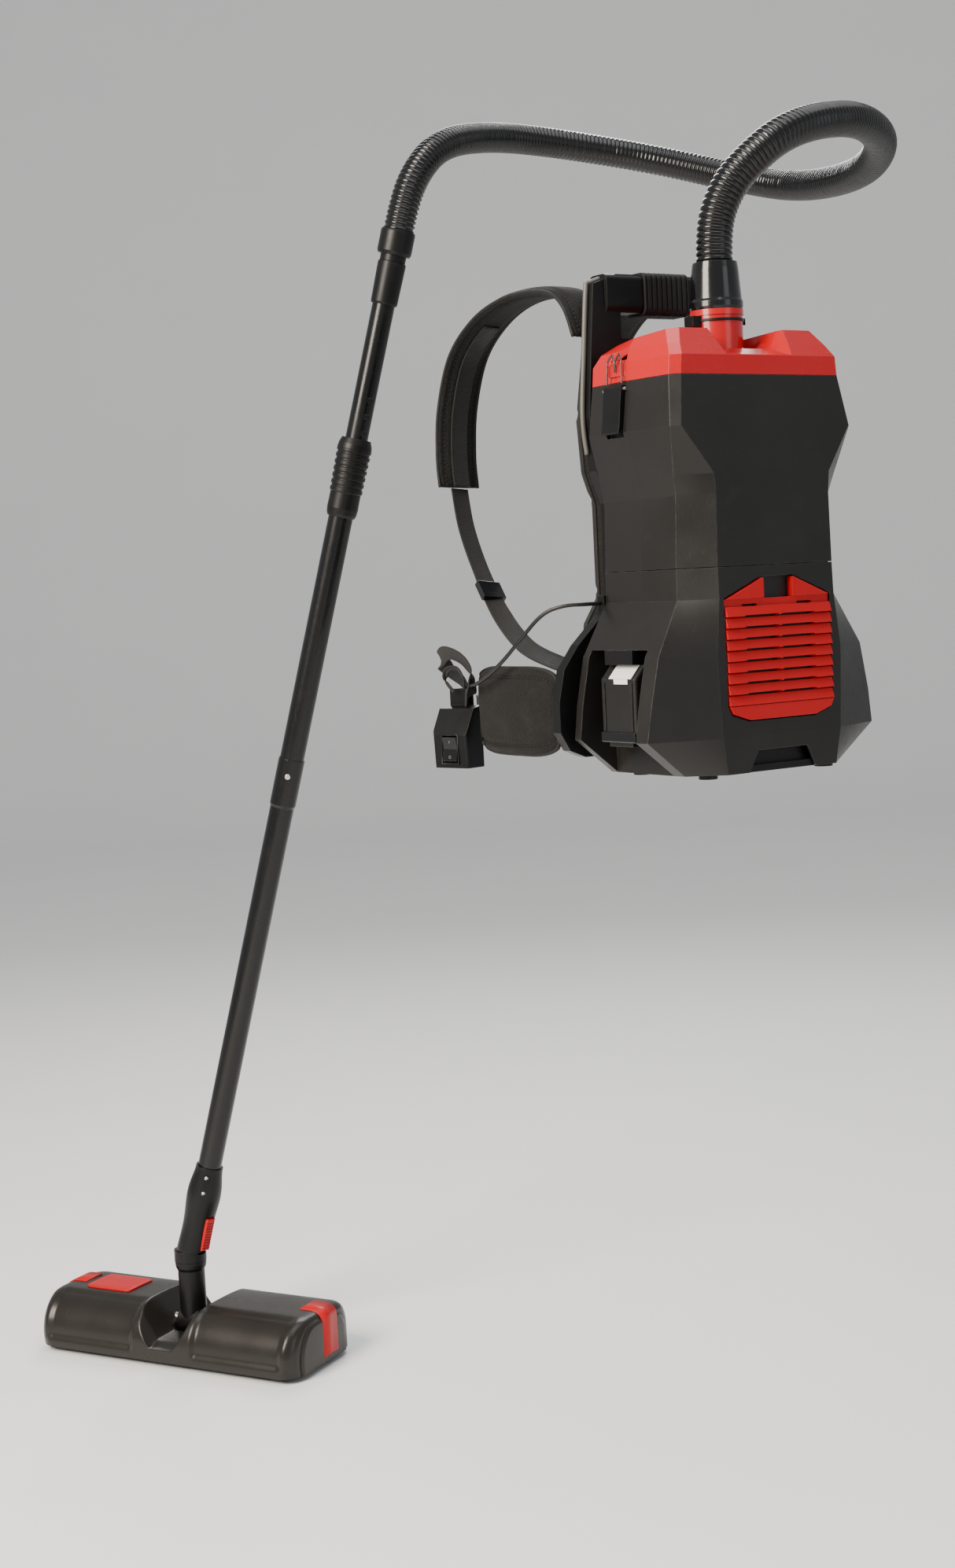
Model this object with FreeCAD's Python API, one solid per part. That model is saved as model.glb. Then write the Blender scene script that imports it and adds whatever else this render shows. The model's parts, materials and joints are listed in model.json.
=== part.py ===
import FreeCAD, Part
import math
import os

os.makedirs("parts", exist_ok=True)
V = FreeCAD.Vector

# ---------------------------------------------------------------- driving dimensions, mm
# Origin: centre of the harness pad face that lies on the wearer's back, level with the
# seam between the two shells. +Y is the way the wearer faces, -X is the wearer's left, +Z is up.
FLOOR_Z = -1132.0          # the floor that the cleaning head stands on, below the origin

# pack shells
WALL = 3.0                 # shell wall
BODY_BACK_Y = -69.0        # rear wall of the shells, towards the harness
LID_Z = 216.0              # parting line of lid and upper shell
SEAM_GAP = 0.4             # gap at each parting line
BASE_Z = -236.0            # lower edge of the lower shell

# Half outlines of the body at each level: level, then half width and Y of
# front crease, side corner, side ridge, and the half width at the back.
UPPER_LEVELS = [
    (0.0, 86, -240.5, 117, -205, 121, -147, 115),
    (82.0, 84, -241, 115, -207, 118, -147, 112),
    (105.0, 86, -241, 121, -212, 123, -147, 117),
    (158.0, 125, -235, 134, -226, 136, -147, 130),
    (LID_Z, 116, -227, 126, -217, 128, -140, 122),
]
LOWER_LEVELS = [
    (BASE_Z, 82, -241, 118, -207, 124, -150, 118),
    (-194.0, 89, -243, 171, -209, 176, -148, 170),
    (-154.0, 91, -243, 165, -211, 171, -148, 165),
    (-98.0, 93, -243, 153, -212, 159, -148, 153),
    (-36.0, 86, -242, 118, -206, 122, -147, 116),
    (0.0, 86, -240.5, 117, -205, 121, -147, 115),
]
LID_LEVELS = [
    (LID_Z, 116, -227, 126, -217, 128, -140, 122),
    (238.0, 114, -227, 124, -217, 126, -140, 120),
]

# suction neck, cuffs and hose
NECK_Y = -153.0            # neck axis, on the centre plane
NECK_R = 30.0
NECK_TOP = 297.0
SPIGOT_R = 22.0
CUFF_TOP = 352.0
HOSE_R = 21.5
HOSE_BORE_R = 19.0
FIT = 0.05                 # radial running clearance
GAP = 0.3                  # clearance between parts that only pass each other

# wand: a straight line from the hose cuff down to the neck of the cleaning head
WAND_TOP = V(-38, 478, 487)
WAND_DIR = V(0.1752, -0.2009, 0.9638).normalize()
WAND_LENGTH = 1537.0
INNER_R = 16.0
OUTER_R = 17.5
TUBE_WALL = 1.2
COLLAR_S = 300.0           # distance of the length collar below the hose cuff
JOINT_S = 759.0            # socket of the lower tube
HOUSING_S = 1386.0         # upper end of the neck housing

# cleaning head
HEAD_YAW = 119.0           # turn of the head's long axis about +Z, degrees
HEAD_HALF = 228.0          # half length
HEAD_BACK = -82.0
HEAD_FRONT = 91.0
HEAD_HEIGHT = 85.0
HEAD_WALL = 6.0            # shell of the hood, ends and plan
HEAD_CORNER = 26.0         # plan radius of the corners
SKIRT_Z = 9.0              # lower rim of the hood above the floor
TRAY_TOP = 22.0            # upper edge of the sole tray that sits inside the hood
SOLE_Z = 5.5               # flat underside of the sole tray above the floor
PIVOT_HEIGHT = 47.0        # pitch pivot above the floor

# harness
FRAME_BACK_Y = -56.0
FRAME_FRONT_Y = -41.0
PAD_BACK_Y = -40.7
HANDLE_TOP = 351.0
HANDLE_HALF = 105.0
WINDOW_HALF = 66.0
WINDOW_Z = (276.0, 306.0)

# battery bay on the wearer's left
BAY_Y = (-190.0, -82.0)
BAY_TOP = -90.0
BAY_FLOOR_X = -119.0

nodes = {}


# ---------------------------------------------------------------- helpers
def box(x0, y0, z0, x1, y1, z1):
    return Part.makeBox(x1 - x0, y1 - y0, z1 - z0, V(x0, y0, z0))


def cyl(r, base, height, axis=V(0, 0, 1)):
    return Part.makeCylinder(r, height, base, axis)


def ring(r_out, r_in, base, height, axis=V(0, 0, 1)):
    return cyl(r_out, base, height, axis).cut(cyl(r_in, base, height, axis))


def prism(points, vector):
    face = Part.Face(Part.makePolygon(points + [points[0]]))
    return face.extrude(vector)


def revolve_z(profile, base):
    """Solid of revolution about +Z through base; profile is (radius, height) points."""
    points = [V(r, 0, z) for r, z in profile]
    face = Part.Face(Part.makePolygon(points + [points[0]]))
    solid = face.revolve(V(0, 0, 0), V(0, 0, 1), 360)
    solid.translate(base)
    return solid


def mirrored(shape):
    return shape.mirror(V(0, 0, 0), V(1, 0, 0))


def fillet_edges(shape, radius, test):
    """Rounds the straight edges that test(midpoint, direction) picks."""
    picked = []
    for edge in shape.Edges:
        if len(edge.Vertexes) < 2:
            continue
        start, end = edge.Vertexes[0].Point, edge.Vertexes[1].Point
        if test((start + end) * 0.5, (end - start)):
            picked.append(edge)
    return shape.makeFillet(radius, picked) if picked else shape


def outline(level, inset=0.0):
    """Closed body outline at one level, drawn in by inset."""
    z, crease, front, side, side_y, ridge, ridge_y, back = level
    half = [
        (crease - 0.6 * inset, front + inset),
        (side - inset, side_y + 0.6 * inset),
        (ridge - inset, ridge_y),
        (back - inset, BODY_BACK_Y - inset),
    ]
    right = [V(x, y, z) for x, y in half]
    left = [V(-x, y, z) for x, y in reversed(half)]
    return right + left


def loft(outlines):
    wires = [Part.makePolygon(points + [points[0]]) for points in outlines]
    return Part.makeLoft(wires, True, True)


def shell_loft(levels, inset=0.0):
    return loft([outline(level, inset) for level in levels])


def at_level(level, z):
    return (z,) + tuple(level[1:])


def ribbon(points, width, thickness, across, smooth=True):
    """Strap along points; across is the rough direction of its width at each point."""
    if not isinstance(across, list):
        across = [across] * len(points)
    wires = []
    for i, point in enumerate(points):
        before = points[max(i - 1, 0)]
        after = points[min(i + 1, len(points) - 1)]
        along = (after - before).normalize()
        side = (across[i] - along * across[i].dot(along)).normalize()
        normal = along.cross(side)
        w = side * (0.5 * width)
        t = normal * (0.5 * thickness)
        corners = [point - w - t, point + w - t, point + w + t, point - w + t]
        wires.append(Part.makePolygon(corners + [corners[0]]))
    return Part.makeLoft(wires, True, not smooth)


def cord_wire(name, points):
    """Straight runs joined by tangent arcs, each as large as its two runs allow."""
    edges = []
    radii = []
    start = points[0]
    for i in range(1, len(points) - 1):
        corner = points[i]
        back = points[i - 1] - corner
        ahead = points[i + 1] - corner
        cut = 0.45 * min(back.Length, ahead.Length)
        u = V(back).normalize()
        w = V(ahead).normalize()
        half_turn = 0.5 * (math.pi - u.getAngle(w))
        radius = cut / math.tan(half_turn)
        arc_start = corner + u * cut
        arc_end = corner + w * cut
        reach = radius / math.cos(half_turn) - radius
        arc_mid = corner + (u + w).normalize() * reach
        edges.append(Part.LineSegment(start, arc_start).toShape())
        edges.append(Part.Arc(arc_start, arc_mid, arc_end).toShape())
        radii.append(round(radius))
        start = arc_end
    edges.append(Part.LineSegment(start, points[-1]).toShape())
    wire = Part.Wire(edges)
    print(name, "radii", radii, "length", round(wire.Length, 1))
    return wire


def swept(wire, start, direction, radius):
    circle = Part.Wire(Part.makeCircle(radius, start, direction))
    return wire.makePipeShell([circle], True, True)


# ---------------------------------------------------------------- upper shell (dust chamber)
def make_upper_shell():
    levels = [at_level(UPPER_LEVELS[0], SEAM_GAP)] + UPPER_LEVELS[1:]
    solid = shell_loft(levels)
    inner = [at_level(UPPER_LEVELS[0], 5.0)] + UPPER_LEVELS[1:-1] + [at_level(UPPER_LEVELS[-1], LID_Z + 1)]
    solid = solid.cut(shell_loft(inner, WALL))
    solid = solid.cut(cyl(50, V(0, -150, -1), 10))
    # locating lip that reaches down inside the lower shell and hides the seam
    seam_low, seam_high = at_level(UPPER_LEVELS[0], -5.0), at_level(UPPER_LEVELS[0], 1.0)
    lip = loft([outline(seam_low, WALL + 1.0), outline(seam_high, WALL + 0.6)])
    solid = solid.fuse(lip.cut(loft([outline(seam_low, WALL + 3.0), outline(seam_high, WALL + 2.6)])))
    # dished seats for the two draw latches, closed from behind by a pocket wall
    for sign in (-1, 1):
        seat_x = sorted((sign * 126.0, sign * 142.0))
        wall_x = sorted((sign * 119.0, sign * 140.0))
        pocket_wall = box(wall_x[0], -146, 150, wall_x[1], -100, LID_Z)
        solid = solid.fuse(pocket_wall.common(shell_loft(levels)))
        solid = solid.cut(box(seat_x[0], LATCH_Y[0] - 1, 153, seat_x[1], LATCH_Y[1] + 1, LID_Z + 1))
        solid = solid.cut(cyl(2.0, V(sign * LATCH_AXIS_X, LATCH_Y[0] - 4, LATCH_AXIS_Z),
                              LATCH_Y[1] - LATCH_Y[0] + 8, V(0, 1, 0)))
    return solid


# ---------------------------------------------------------------- draw latches
LATCH_Y = (-141.0, -107.0)
LATCH_AXIS_X = 131.0
LATCH_AXIS_Z = 208.0


def make_latch(sign):
    """Lever that hangs from its pin, and the wire bail that the lid's lug carries."""
    y0, y1 = LATCH_Y
    width = y1 - y0
    knuckle = cyl(4.4, V(LATCH_AXIS_X, y0 + 0.5, LATCH_AXIS_Z), width - 1, V(0, 1, 0))
    plate = prism([V(127.3, y0 + 0.5, 206), V(135.2, y0 + 0.5, 208), V(139.5, y0 + 0.5, 168),
                   V(141.5, y0 + 0.5, 158), V(138.5, y0 + 0.5, 157), V(131.5, y0 + 0.5, 168)],
                  V(0, width - 1, 0))
    lever = knuckle.fuse(plate).removeSplitter()
    lever = lever.cut(cyl(2.0 + FIT, V(LATCH_AXIS_X, y0, LATCH_AXIS_Z), width, V(0, 1, 0)))
    pin = cyl(2.0, V(LATCH_AXIS_X, y0 - 4, LATCH_AXIS_Z), width + 8, V(0, 1, 0))
    # bail: a 2 mm wire bent into two arches
    x_low, x_top = 131.5, 127.8
    z_low, z_top = 214.5, 249.0
    step = 0.25 * (width - 6)
    ys = [y0 + 3 + step * k for k in range(5)]
    points = [V(x_low, ys[0], z_low), V(x_top + 2.2, ys[0] + 1, z_top - 8),
              V(x_top, ys[1], z_top), V(x_top + 2.2, ys[2] - 1, z_top - 8),
              V(x_low - 1, ys[2], z_low + 14), V(x_top + 2.2, ys[2] + 1, z_top - 8),
              V(x_top, ys[3], z_top), V(x_top + 2.2, ys[4] - 1, z_top - 8),
              V(x_low, ys[4], z_low)]
    solids = []
    for a, b in zip(points, points[1:]):
        solids.append(cyl(1.0, a, (b - a).Length, b - a))
    for point in points[1:-1]:
        solids.append(Part.makeSphere(1.0, point))
    bail = solids[0].multiFuse(solids[1:])
    shapes = [lever, bail, pin]
    return shapes if sign > 0 else [mirrored(s) for s in shapes]


# ---------------------------------------------------------------- lid
def lid_top(inset=0.0):
    """Sloping top edge of the lid, higher at the front."""
    half = [(97, -203), (108, -192), (112, -140), (104, -98)]
    right = []
    for x, y in half:
        y += inset if y < -190 else -inset if y > -100 else 0
        right.append(V(x - inset, y, 262 - inset + (-98 - y) * 0.08))
    left = [V(-p.x, p.y, p.z) for p in reversed(right)]
    return right + left


def lid_mid(inset=0.0):
    """Rounded rear shoulder of the lid, halfway between its band and its top."""
    half = [(108, -217), (118, -207), (122, -140), (114, -78)]
    right = [V(x - inset, y + (inset if y < -200 else -inset if y > -100 else 0), 252) for x, y in half]
    left = [V(-p.x, p.y, p.z) for p in reversed(right)]
    return right + left


def make_lid():
    bottom = LID_Z + SEAM_GAP
    outer = loft([outline(at_level(LID_LEVELS[0], bottom)), outline(LID_LEVELS[1]), lid_mid(), lid_top()])
    inner = loft([outline(at_level(LID_LEVELS[0], bottom - 1), WALL), outline(LID_LEVELS[1], WALL),
                  lid_mid(WALL), lid_top(WALL)])
    # scoop that opens to the outer face round the neck: a sloping floor between flared walls
    def scoop_section(y, z, half_low, half_high):
        rise = 60
        flare = half_high + (half_high - half_low) * 0.3
        return [V(-half_low, y, z), V(half_low, y, z), V(flare, y, z + rise), V(-flare, y, z + rise)]

    def scoop(drop):
        return loft([scoop_section(-240, 238 - drop, 50, 78), scoop_section(-226, 239 - drop, 48, 76),
                     scoop_section(-196, 249 - drop, 42, 66), scoop_section(-116, 254 - drop, 40, 60)])

    solid = outer.cut(inner)
    solid = solid.fuse(scoop(WALL).common(outer))
    solid = solid.cut(scoop(0))
    neck = cyl(NECK_R, V(0, NECK_Y, 243), NECK_TOP - 243)
    neck = neck.fuse(cyl(NECK_R + 1.2, V(0, NECK_Y, NECK_TOP - 7), 7))
    neck = neck.fuse(cyl(SPIGOT_R, V(0, NECK_Y, NECK_TOP - 1), 32))
    solid = solid.fuse(neck)
    solid = solid.cut(cyl(SPIGOT_R - 2.5, V(0, NECK_Y, 200), 200))
    for sign in (-1, 1):
        lug = prism([V(120, LATCH_Y[0] + 2, 223), V(127.9, LATCH_Y[0] + 2, 223),
                     V(127.2, LATCH_Y[0] + 2, 236), V(120, LATCH_Y[0] + 2, 240)],
                    V(0, LATCH_Y[1] - LATCH_Y[0] - 4, 0))
        solid = solid.fuse(lug if sign > 0 else mirrored(lug))
        pocket = box(120.0, LATCH_Y[0], 241, 140, LATCH_Y[1], 257)
        solid = solid.cut(pocket if sign > 0 else mirrored(pocket))
    return solid


def make_lid_seal():
    low = at_level(LID_LEVELS[0], LID_Z + SEAM_GAP)
    high = at_level(LID_LEVELS[0], LID_Z + 4.0)
    outer = loft([outline(low, WALL + 0.6), outline(high, WALL + 0.6)])
    inner = loft([outline(at_level(low, LID_Z - 1), WALL + 5), outline(at_level(high, LID_Z + 5), WALL + 5)])
    return outer.cut(inner)


# ---------------------------------------------------------------- lower shell (motor chamber)
GRILLE_OUTLINE = [(-50, -176), (50, -176), (74, -168), (79, -158), (79, -37), (24, -14),
                  (21, -14), (21, -37), (-21, -37), (-21, -14), (-24, -14), (-79, -37),
                  (-79, -158), (-74, -168)]


def grille_profile(y, grow):
    points = []
    for x, z in GRILLE_OUTLINE:
        notch = abs(x) <= 21
        dx = (-grow if notch else grow) * (1 if x > 0 else -1)
        dz = grow if z > -60 else -grow
        points.append(V(x + dx, y, z + dz))
    return points


def make_lower_shell():
    levels = LOWER_LEVELS[:-1] + [at_level(LOWER_LEVELS[-1], -SEAM_GAP)]
    outer = shell_loft(levels)
    inner = [at_level(LOWER_LEVELS[0], BASE_Z - 1)] + LOWER_LEVELS[1:-1] + [at_level(LOWER_LEVELS[-1], 1)]
    solid = outer.cut(shell_loft(inner, WALL))
    # battery bay: a box sunk into the wearer's left side and open below
    y0, y1 = BAY_Y
    bay_walls = box(-200, y0 - WALL, BASE_Z, BAY_FLOOR_X + WALL, y1 + WALL, BAY_TOP + WALL)
    solid = solid.fuse(bay_walls.common(outer))
    solid = solid.cut(box(-200, y0, BASE_Z - 1, BAY_FLOOR_X, y1, BAY_TOP))
    # seat of the exhaust grille, and the finger pocket above it
    seat = [V(x * 1.01, -250, z - 0.9 if z < -100 else z + 1.2) for x, z in GRILLE_OUTLINE if abs(x) > 21]
    frame = prism([V(p.x * 1.04, -243, p.z * 1.03 + 1) for p in seat], V(0, 13, 0))
    solid = solid.fuse(frame.common(outer))
    solid = solid.cut(prism(seat, V(0, 16, 0)))
    solid = solid.cut(box(-70, -235, -166, 70, -200, -44))
    solid = solid.fuse(motor_cradle().common(outer))
    # trapezoid foot notch in the outer wall
    notch = [V(-51, -250, BASE_Z - 1), V(51, -250, BASE_Z - 1), V(37, -250, -211), V(-37, -250, -211)]
    return solid.cut(prism(notch, V(0, 20, 0)))


def make_base_plate():
    level = LOWER_LEVELS[0]
    plate = loft([outline(at_level(level, BASE_Z), WALL + 0.8), outline(at_level(level, -228), WALL + 0.8)])
    plate = plate.cut(box(-200, BAY_Y[0] - WALL - 1, -240, BAY_FLOOR_X + WALL + 1, BAY_Y[1] + WALL + 1, -220))
    block = prism([V(-49, -231, BASE_Z), V(49, -231, BASE_Z), V(36, -231, -212), V(-36, -231, -212)],
                  V(0, 12, 0))
    plate = plate.fuse(block)
    for x in (-88, 88):
        for y in (-212, -90):
            plate = plate.fuse(cyl(11, V(x, y, BASE_Z - 5), 6))
    for x, y in SCREW_SPOTS:
        plate = plate.cut(cyl(1.8, V(x, y, BASE_Z - 1), 20))
    return plate


SCREW_SPOTS = [(-60, -205), (60, -205), (-60, -95), (60, -95)]


def make_base_screws():
    solids = []
    for x, y in SCREW_SPOTS:
        head = cyl(3.6, V(x, y, BASE_Z - 2.2), 2.2)
        shank = cyl(1.8, V(x, y, BASE_Z - 0.2), 7.5)
        recess = box(x - 1, y - 1, BASE_Z - 3, x + 1, y + 1, BASE_Z - 1.2)
        solids.append(head.fuse(shank).cut(recess))
    return Part.makeCompound(solids)


# ---------------------------------------------------------------- inside the pack
def make_dust_bag():
    bag = box(-82, -220, 44, 82, -88, 204)
    bag = bag.makeFillet(18, [e for e in bag.Edges])
    hollow = box(-79, -217, 47, 79, -91, 201)
    hollow = hollow.makeFillet(15, [e for e in hollow.Edges])
    collar = cyl(26, V(0, NECK_Y, 203), 8)
    return bag.fuse(collar).cut(hollow).cut(cyl(20, V(0, NECK_Y, 190), 30))


def make_motor_filter():
    disc = cyl(62, V(0, -150, 5.6), 24)
    for k in range(12):
        turn = 2 * math.pi * k / 12
        rib = V(50 * math.cos(turn), -150 + 50 * math.sin(turn), 25)
        disc = disc.cut(cyl(5, rib, 10))
    return disc


def make_motor():
    profile = [(0, -118), (40, -118), (48, -108), (50, -60), (56, -56), (56, -24), (0, -24)]
    motor = revolve_z(profile, V(0, -150, 0))
    return motor.cut(cyl(4 + FIT, V(0, -150, -80), 70))


def motor_cradle():
    """Moulded ring and arms that hold the motor off the walls of its chamber."""
    mount = ring(64, 56.4, V(0, -150, -58), 22)
    for turn in (0, 90, 180):
        arm = box(60, -6, -58, 140, 6, -46)
        arm.rotate(V(0, 0, 0), V(0, 0, 1), turn)
        arm.translate(V(0, -150, 0))
        mount = mount.fuse(arm)
    return mount


def make_impeller():
    hub = cyl(10, V(0, -150, -20), 16)
    disc = cyl(46, V(0, -150, -20), 2)
    shaft = cyl(4, V(0, -150, -70), 52)
    solid = hub.fuse(disc).fuse(shaft)
    for k in range(9):
        blade = box(9, -0.8, -18.2, 45, 0.8, -7)
        blade.rotate(V(9, 0, 0), V(0, 0, 1), -38)
        blade = blade.common(cyl(45.5, V(0, 0, -30), 30))
        blade.rotate(V(0, 0, 0), V(0, 0, 1), 40 * k)
        blade.translate(V(0, -150, 0))
        solid = solid.fuse(blade)
    return solid


def make_exhaust_filter():
    solid = box(-69, -232.6, -165, 69, -218, -45)
    for k in range(9):
        x = -60 + 15 * k
        solid = solid.cut(box(x - 2, -220, -160, x + 2, -217, -50))
    return solid


def make_grille():
    base = prism(grille_profile(-240, -0.6), V(0, 5.4, 0))
    solid = base
    field = prism(grille_profile(-250, -0.6), V(0, 20, 0))
    for k in range(9):
        z = -46 - 12.6 * k
        slat = prism([V(-90, -239, z), V(-90, -242.6, z), V(-90, -246.2, z - 11.2), V(-90, -239, z - 11.2)],
                     V(180, 0, 0))
        solid = solid.fuse(slat.common(field))
    for k in range(9):
        z = -44.9 - 12.6 * k
        inner = 30 if k == 0 else 2
        for x0, x1 in ((-52, -inner), (inner, 52)):
            solid = solid.cut(box(x0, -250, z - 1.2, x1, -230, z + 1.4))
    cap = prism([V(x, -243.8, z) for x, z in GRILLE_OUTLINE if z > -60], V(0, 5, 0))
    foot = box(-90, -245.6, -180, 90, -239, -158.6).common(field)
    return solid.fuse(cap.common(field)).fuse(foot)


def make_control_board():
    board = box(-62, -82, -200, 62, -80, -135)
    for k in range(4):
        board = board.fuse(box(-50 + 28 * k, -94, -190, -34 + 28 * k, -82, -160))
    return board


def make_battery_dock():
    x0, x1 = BAY_FLOOR_X - 36, BAY_FLOOR_X
    return box(x0, -166, -106.5, x1, -114, BAY_TOP)


def make_battery():
    """Battery block: a slope at the top outer edge, and a dark latch lip below."""
    y0, y1 = -173, -107
    x0, x1 = -158, BAY_FLOOR_X - 1
    case = prism([V(x1, y0, -196), V(x0, y0, -196), V(x0, y0, -123), V(x0 + 14, y0, -107), V(x1, y0, -107)],
                 V(0, y1 - y0, 0))
    case = fillet_edges(case, 4, lambda m, d: abs(d.z) > 10 and m.x < -150)
    lip = box(x0 + 2, -162, -201, x0 + 14, -118, -195)
    return case.fuse(lip)


# ---------------------------------------------------------------- suction cuff, clamp and hose
def make_pack_cuff():
    z0 = NECK_TOP + GAP
    profile = [(SPIGOT_R + FIT, z0), (30.4, z0), (31.4, z0 + 3), (31.4, z0 + 9), (30.0, z0 + 12),
               (27.4, CUFF_TOP - 8), (26.2, CUFF_TOP), (SPIGOT_R + FIT, CUFF_TOP)]
    return revolve_z(profile, V(0, NECK_Y, 0))


def make_neck_clamp():
    z = 283.0
    band = ring(NECK_R + 1.6, NECK_R, V(0, NECK_Y, z), 3)
    knob = cyl(4, V(NECK_R + 0.9, NECK_Y - 4, z + 1.5), 7, V(0.77, -0.64, 0))
    case = box(-NECK_R - 12, NECK_Y - 8, z - 5, -NECK_R + 2, NECK_Y + 8, z + 6.5)
    clamp = band.fuse(knob).fuse(case)
    return clamp.cut(cyl(NECK_R, V(0, NECK_Y, z - 10), 20))


HOSE_ROUTE = [V(0, NECK_Y, CUFF_TOP + GAP), V(0, NECK_Y, 388), V(10, -158, 425), V(32, -168, 460),
              V(94, -186, 509), V(228, -157, 536), V(370, -61, 534), V(456, 70, 520),
              V(516, 260, 537), V(526, 406, 576), V(439, 520, 623), V(247, 571, 649),
              V(106, 507, 629), V(33, 478, 606), V(-8, 468, 570), WAND_TOP + WAND_DIR * 44,
              WAND_TOP + WAND_DIR * GAP]


def make_hose():
    wire = cord_wire("hose", HOSE_ROUTE)
    start = HOSE_ROUTE[0]
    direction = HOSE_ROUTE[1] - HOSE_ROUTE[0]
    outer = swept(wire, start, direction, HOSE_R)
    inner = swept(wire, start, direction, HOSE_BORE_R)
    solid = outer.cut(inner)
    section = math.pi * (HOSE_R ** 2 - HOSE_BORE_R ** 2)
    print("hose volume ratio", round(solid.Volume / (section * wire.Length), 3))
    return solid


# ---------------------------------------------------------------- wand
def on_wand(shape, s):
    """Places a shape modelled upright, with z = 0 at the distance s below the wand's top."""
    turned = shape.copy()
    place = FreeCAD.Placement(WAND_TOP - WAND_DIR * s, FreeCAD.Rotation(V(0, 0, 1), WAND_DIR))
    turned.Placement = place.multiply(turned.Placement)
    return turned


def wand_profile(profile):
    """Revolved wand part from (distance below the top, radius) points of its outline."""
    points = [V(r, 0, -s) for s, r in profile]
    face = Part.Face(Part.makePolygon(points + [points[0]]))
    return on_wand(face.revolve(V(0, 0, 0), V(0, 0, 1), 360), 0)


def make_wand():
    inner_end = 588.0
    outer_top = COLLAR_S + 14
    outer_end = JOINT_S + 62
    bore = INNER_R - TUBE_WALL
    nodes["hose_end_cuff"] = wand_profile([
        (0, 15.5), (0, 23.2), (3, 24.2), (30, 24.2), (34, 22.6), (34, 18.3), (43.6, 18.0),
        (43.6, 15.5)])
    nodes["hand_sleeve"] = wand_profile([
        (44, 16.1), (44, 19.2), (47, 19.9), (70, 19.5), (100, 18.9), (103, 18.0), (103, 16.1)])
    tube = wand_profile([(44, bore), (44, INNER_R), (inner_end, INNER_R), (inner_end, bore)])
    for k in range(11):
        s = 236 + 23.5 * k
        tube = tube.cut(on_wand(box(-9, -INNER_R - 1, -3, 9, -INNER_R + 0.7, 3), s))
    nodes["inner_tube"] = tube
    wall_r = INNER_R + 0.3
    outer = wand_profile([(outer_top, INNER_R + FIT), (outer_top, OUTER_R), (outer_end, OUTER_R),
                          (outer_end, wall_r), (outer_top + 60, wall_r), (outer_top + 60, INNER_R + FIT)])
    collar = [(COLLAR_S - 8, INNER_R + 0.3), (COLLAR_S - 8, 20.5), (COLLAR_S, 23.6)]
    for k in range(7):
        s = COLLAR_S + 6 + 9.5 * k
        collar += [(s, 24.6 - 0.2 * k), (s + 5, 24.6 - 0.2 * k), (s + 6, 23.0 - 0.2 * k),
                   (s + 8.5, 23.0 - 0.2 * k)]
    collar += [(COLLAR_S + 92, 22.2), (COLLAR_S + 100, 21.2), (COLLAR_S + 104, 19.5),
               (COLLAR_S + 104, OUTER_R + FIT), (COLLAR_S + 5, OUTER_R + FIT), (COLLAR_S + 5, INNER_R + 0.3)]
    nodes["length_collar"] = wand_profile(collar)
    lower = wand_profile([(JOINT_S, OUTER_R + FIT), (JOINT_S, 19.0), (JOINT_S + 68, 19.0),
                          (JOINT_S + 72, OUTER_R), (HOUSING_S + 44, OUTER_R), (HOUSING_S + 44, wall_r),
                          (JOINT_S + 63, wall_r), (JOINT_S + 63, OUTER_R + FIT)])
    hole = on_wand(cyl(4.2, V(0, 0, 0), 30, BUTTON_SIDE), JOINT_S + 24)
    nodes["outer_tube"] = outer.cut(hole)
    nodes["lower_tube"] = lower.cut(hole)
    button = cyl(4.1, V(0, 0, 0) + BUTTON_SIDE * (INNER_R + 0.5), 4.0, BUTTON_SIDE)
    button = button.makeFillet(1.2, [e for e in button.Edges if e.CenterOfMass.dot(BUTTON_SIDE) > 20])
    nodes["tube_button"] = on_wand(button, JOINT_S + 24)


BUTTON_SIDE = V(-0.545, -0.838, 0)      # the side of the wand that the wearer's left hand meets


# ---------------------------------------------------------------- neck of the cleaning head
SWIVEL = WAND_TOP - WAND_DIR * WAND_LENGTH
PIVOT = V(SWIVEL.x, SWIVEL.y, FLOOR_Z + PIVOT_HEIGHT)


def make_neck_housing():
    """Bent housing: a socket on the wand line above, a ring on the upright line below."""
    stations = [(HOUSING_S, 19.5, 20.5), (HOUSING_S + 14, 21.5, 21.5), (HOUSING_S + 32, 24.5, 24.5),
                (HOUSING_S + 50, 25.5, 25.0), (HOUSING_S + 84, 22.5, 23.0), (HOUSING_S + 112, 23.0, 23.5),
                (WAND_LENGTH - 18, 24.4, 24.4)]
    wires = []
    for s, rx, ry in stations:
        centre = WAND_TOP - WAND_DIR * s
        share = max(0.0, (s - HOUSING_S - 60) / (WAND_LENGTH - HOUSING_S - 60))
        axis = WAND_DIR * (1 - share) + V(0, 0, 1) * share
        ellipse = Part.Ellipse(V(0, 0, 0), max(rx, ry) + 0.01, min(rx, ry)).toShape()
        wire = Part.Wire(ellipse)
        wire.Placement = FreeCAD.Placement(centre, FreeCAD.Rotation(V(0, 0, 1), axis))
        wires.append(wire)
    body = Part.makeLoft(wires, True, False)
    skirt = cyl(24.0, SWIVEL + V(0, 0, 0.4), 17)
    body = body.fuse(skirt)
    socket = on_wand(cyl(OUTER_R + FIT, V(0, 0, -46), 60), HOUSING_S)
    duct = on_wand(cyl(15.0, V(0, 0, -118), 130), HOUSING_S)
    body = body.cut(socket).cut(duct)
    body = body.cut(cyl(18.0 + FIT, SWIVEL + V(0, 0, -1), 12))
    slot = on_wand(box(15.6, -8.3, -134, 40, 8.3, -74), HOUSING_S)
    slot = slot.copy()
    slot.rotate(SWIVEL, WAND_DIR, SLIDER_TURN)
    return body.cut(slot)


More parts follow.
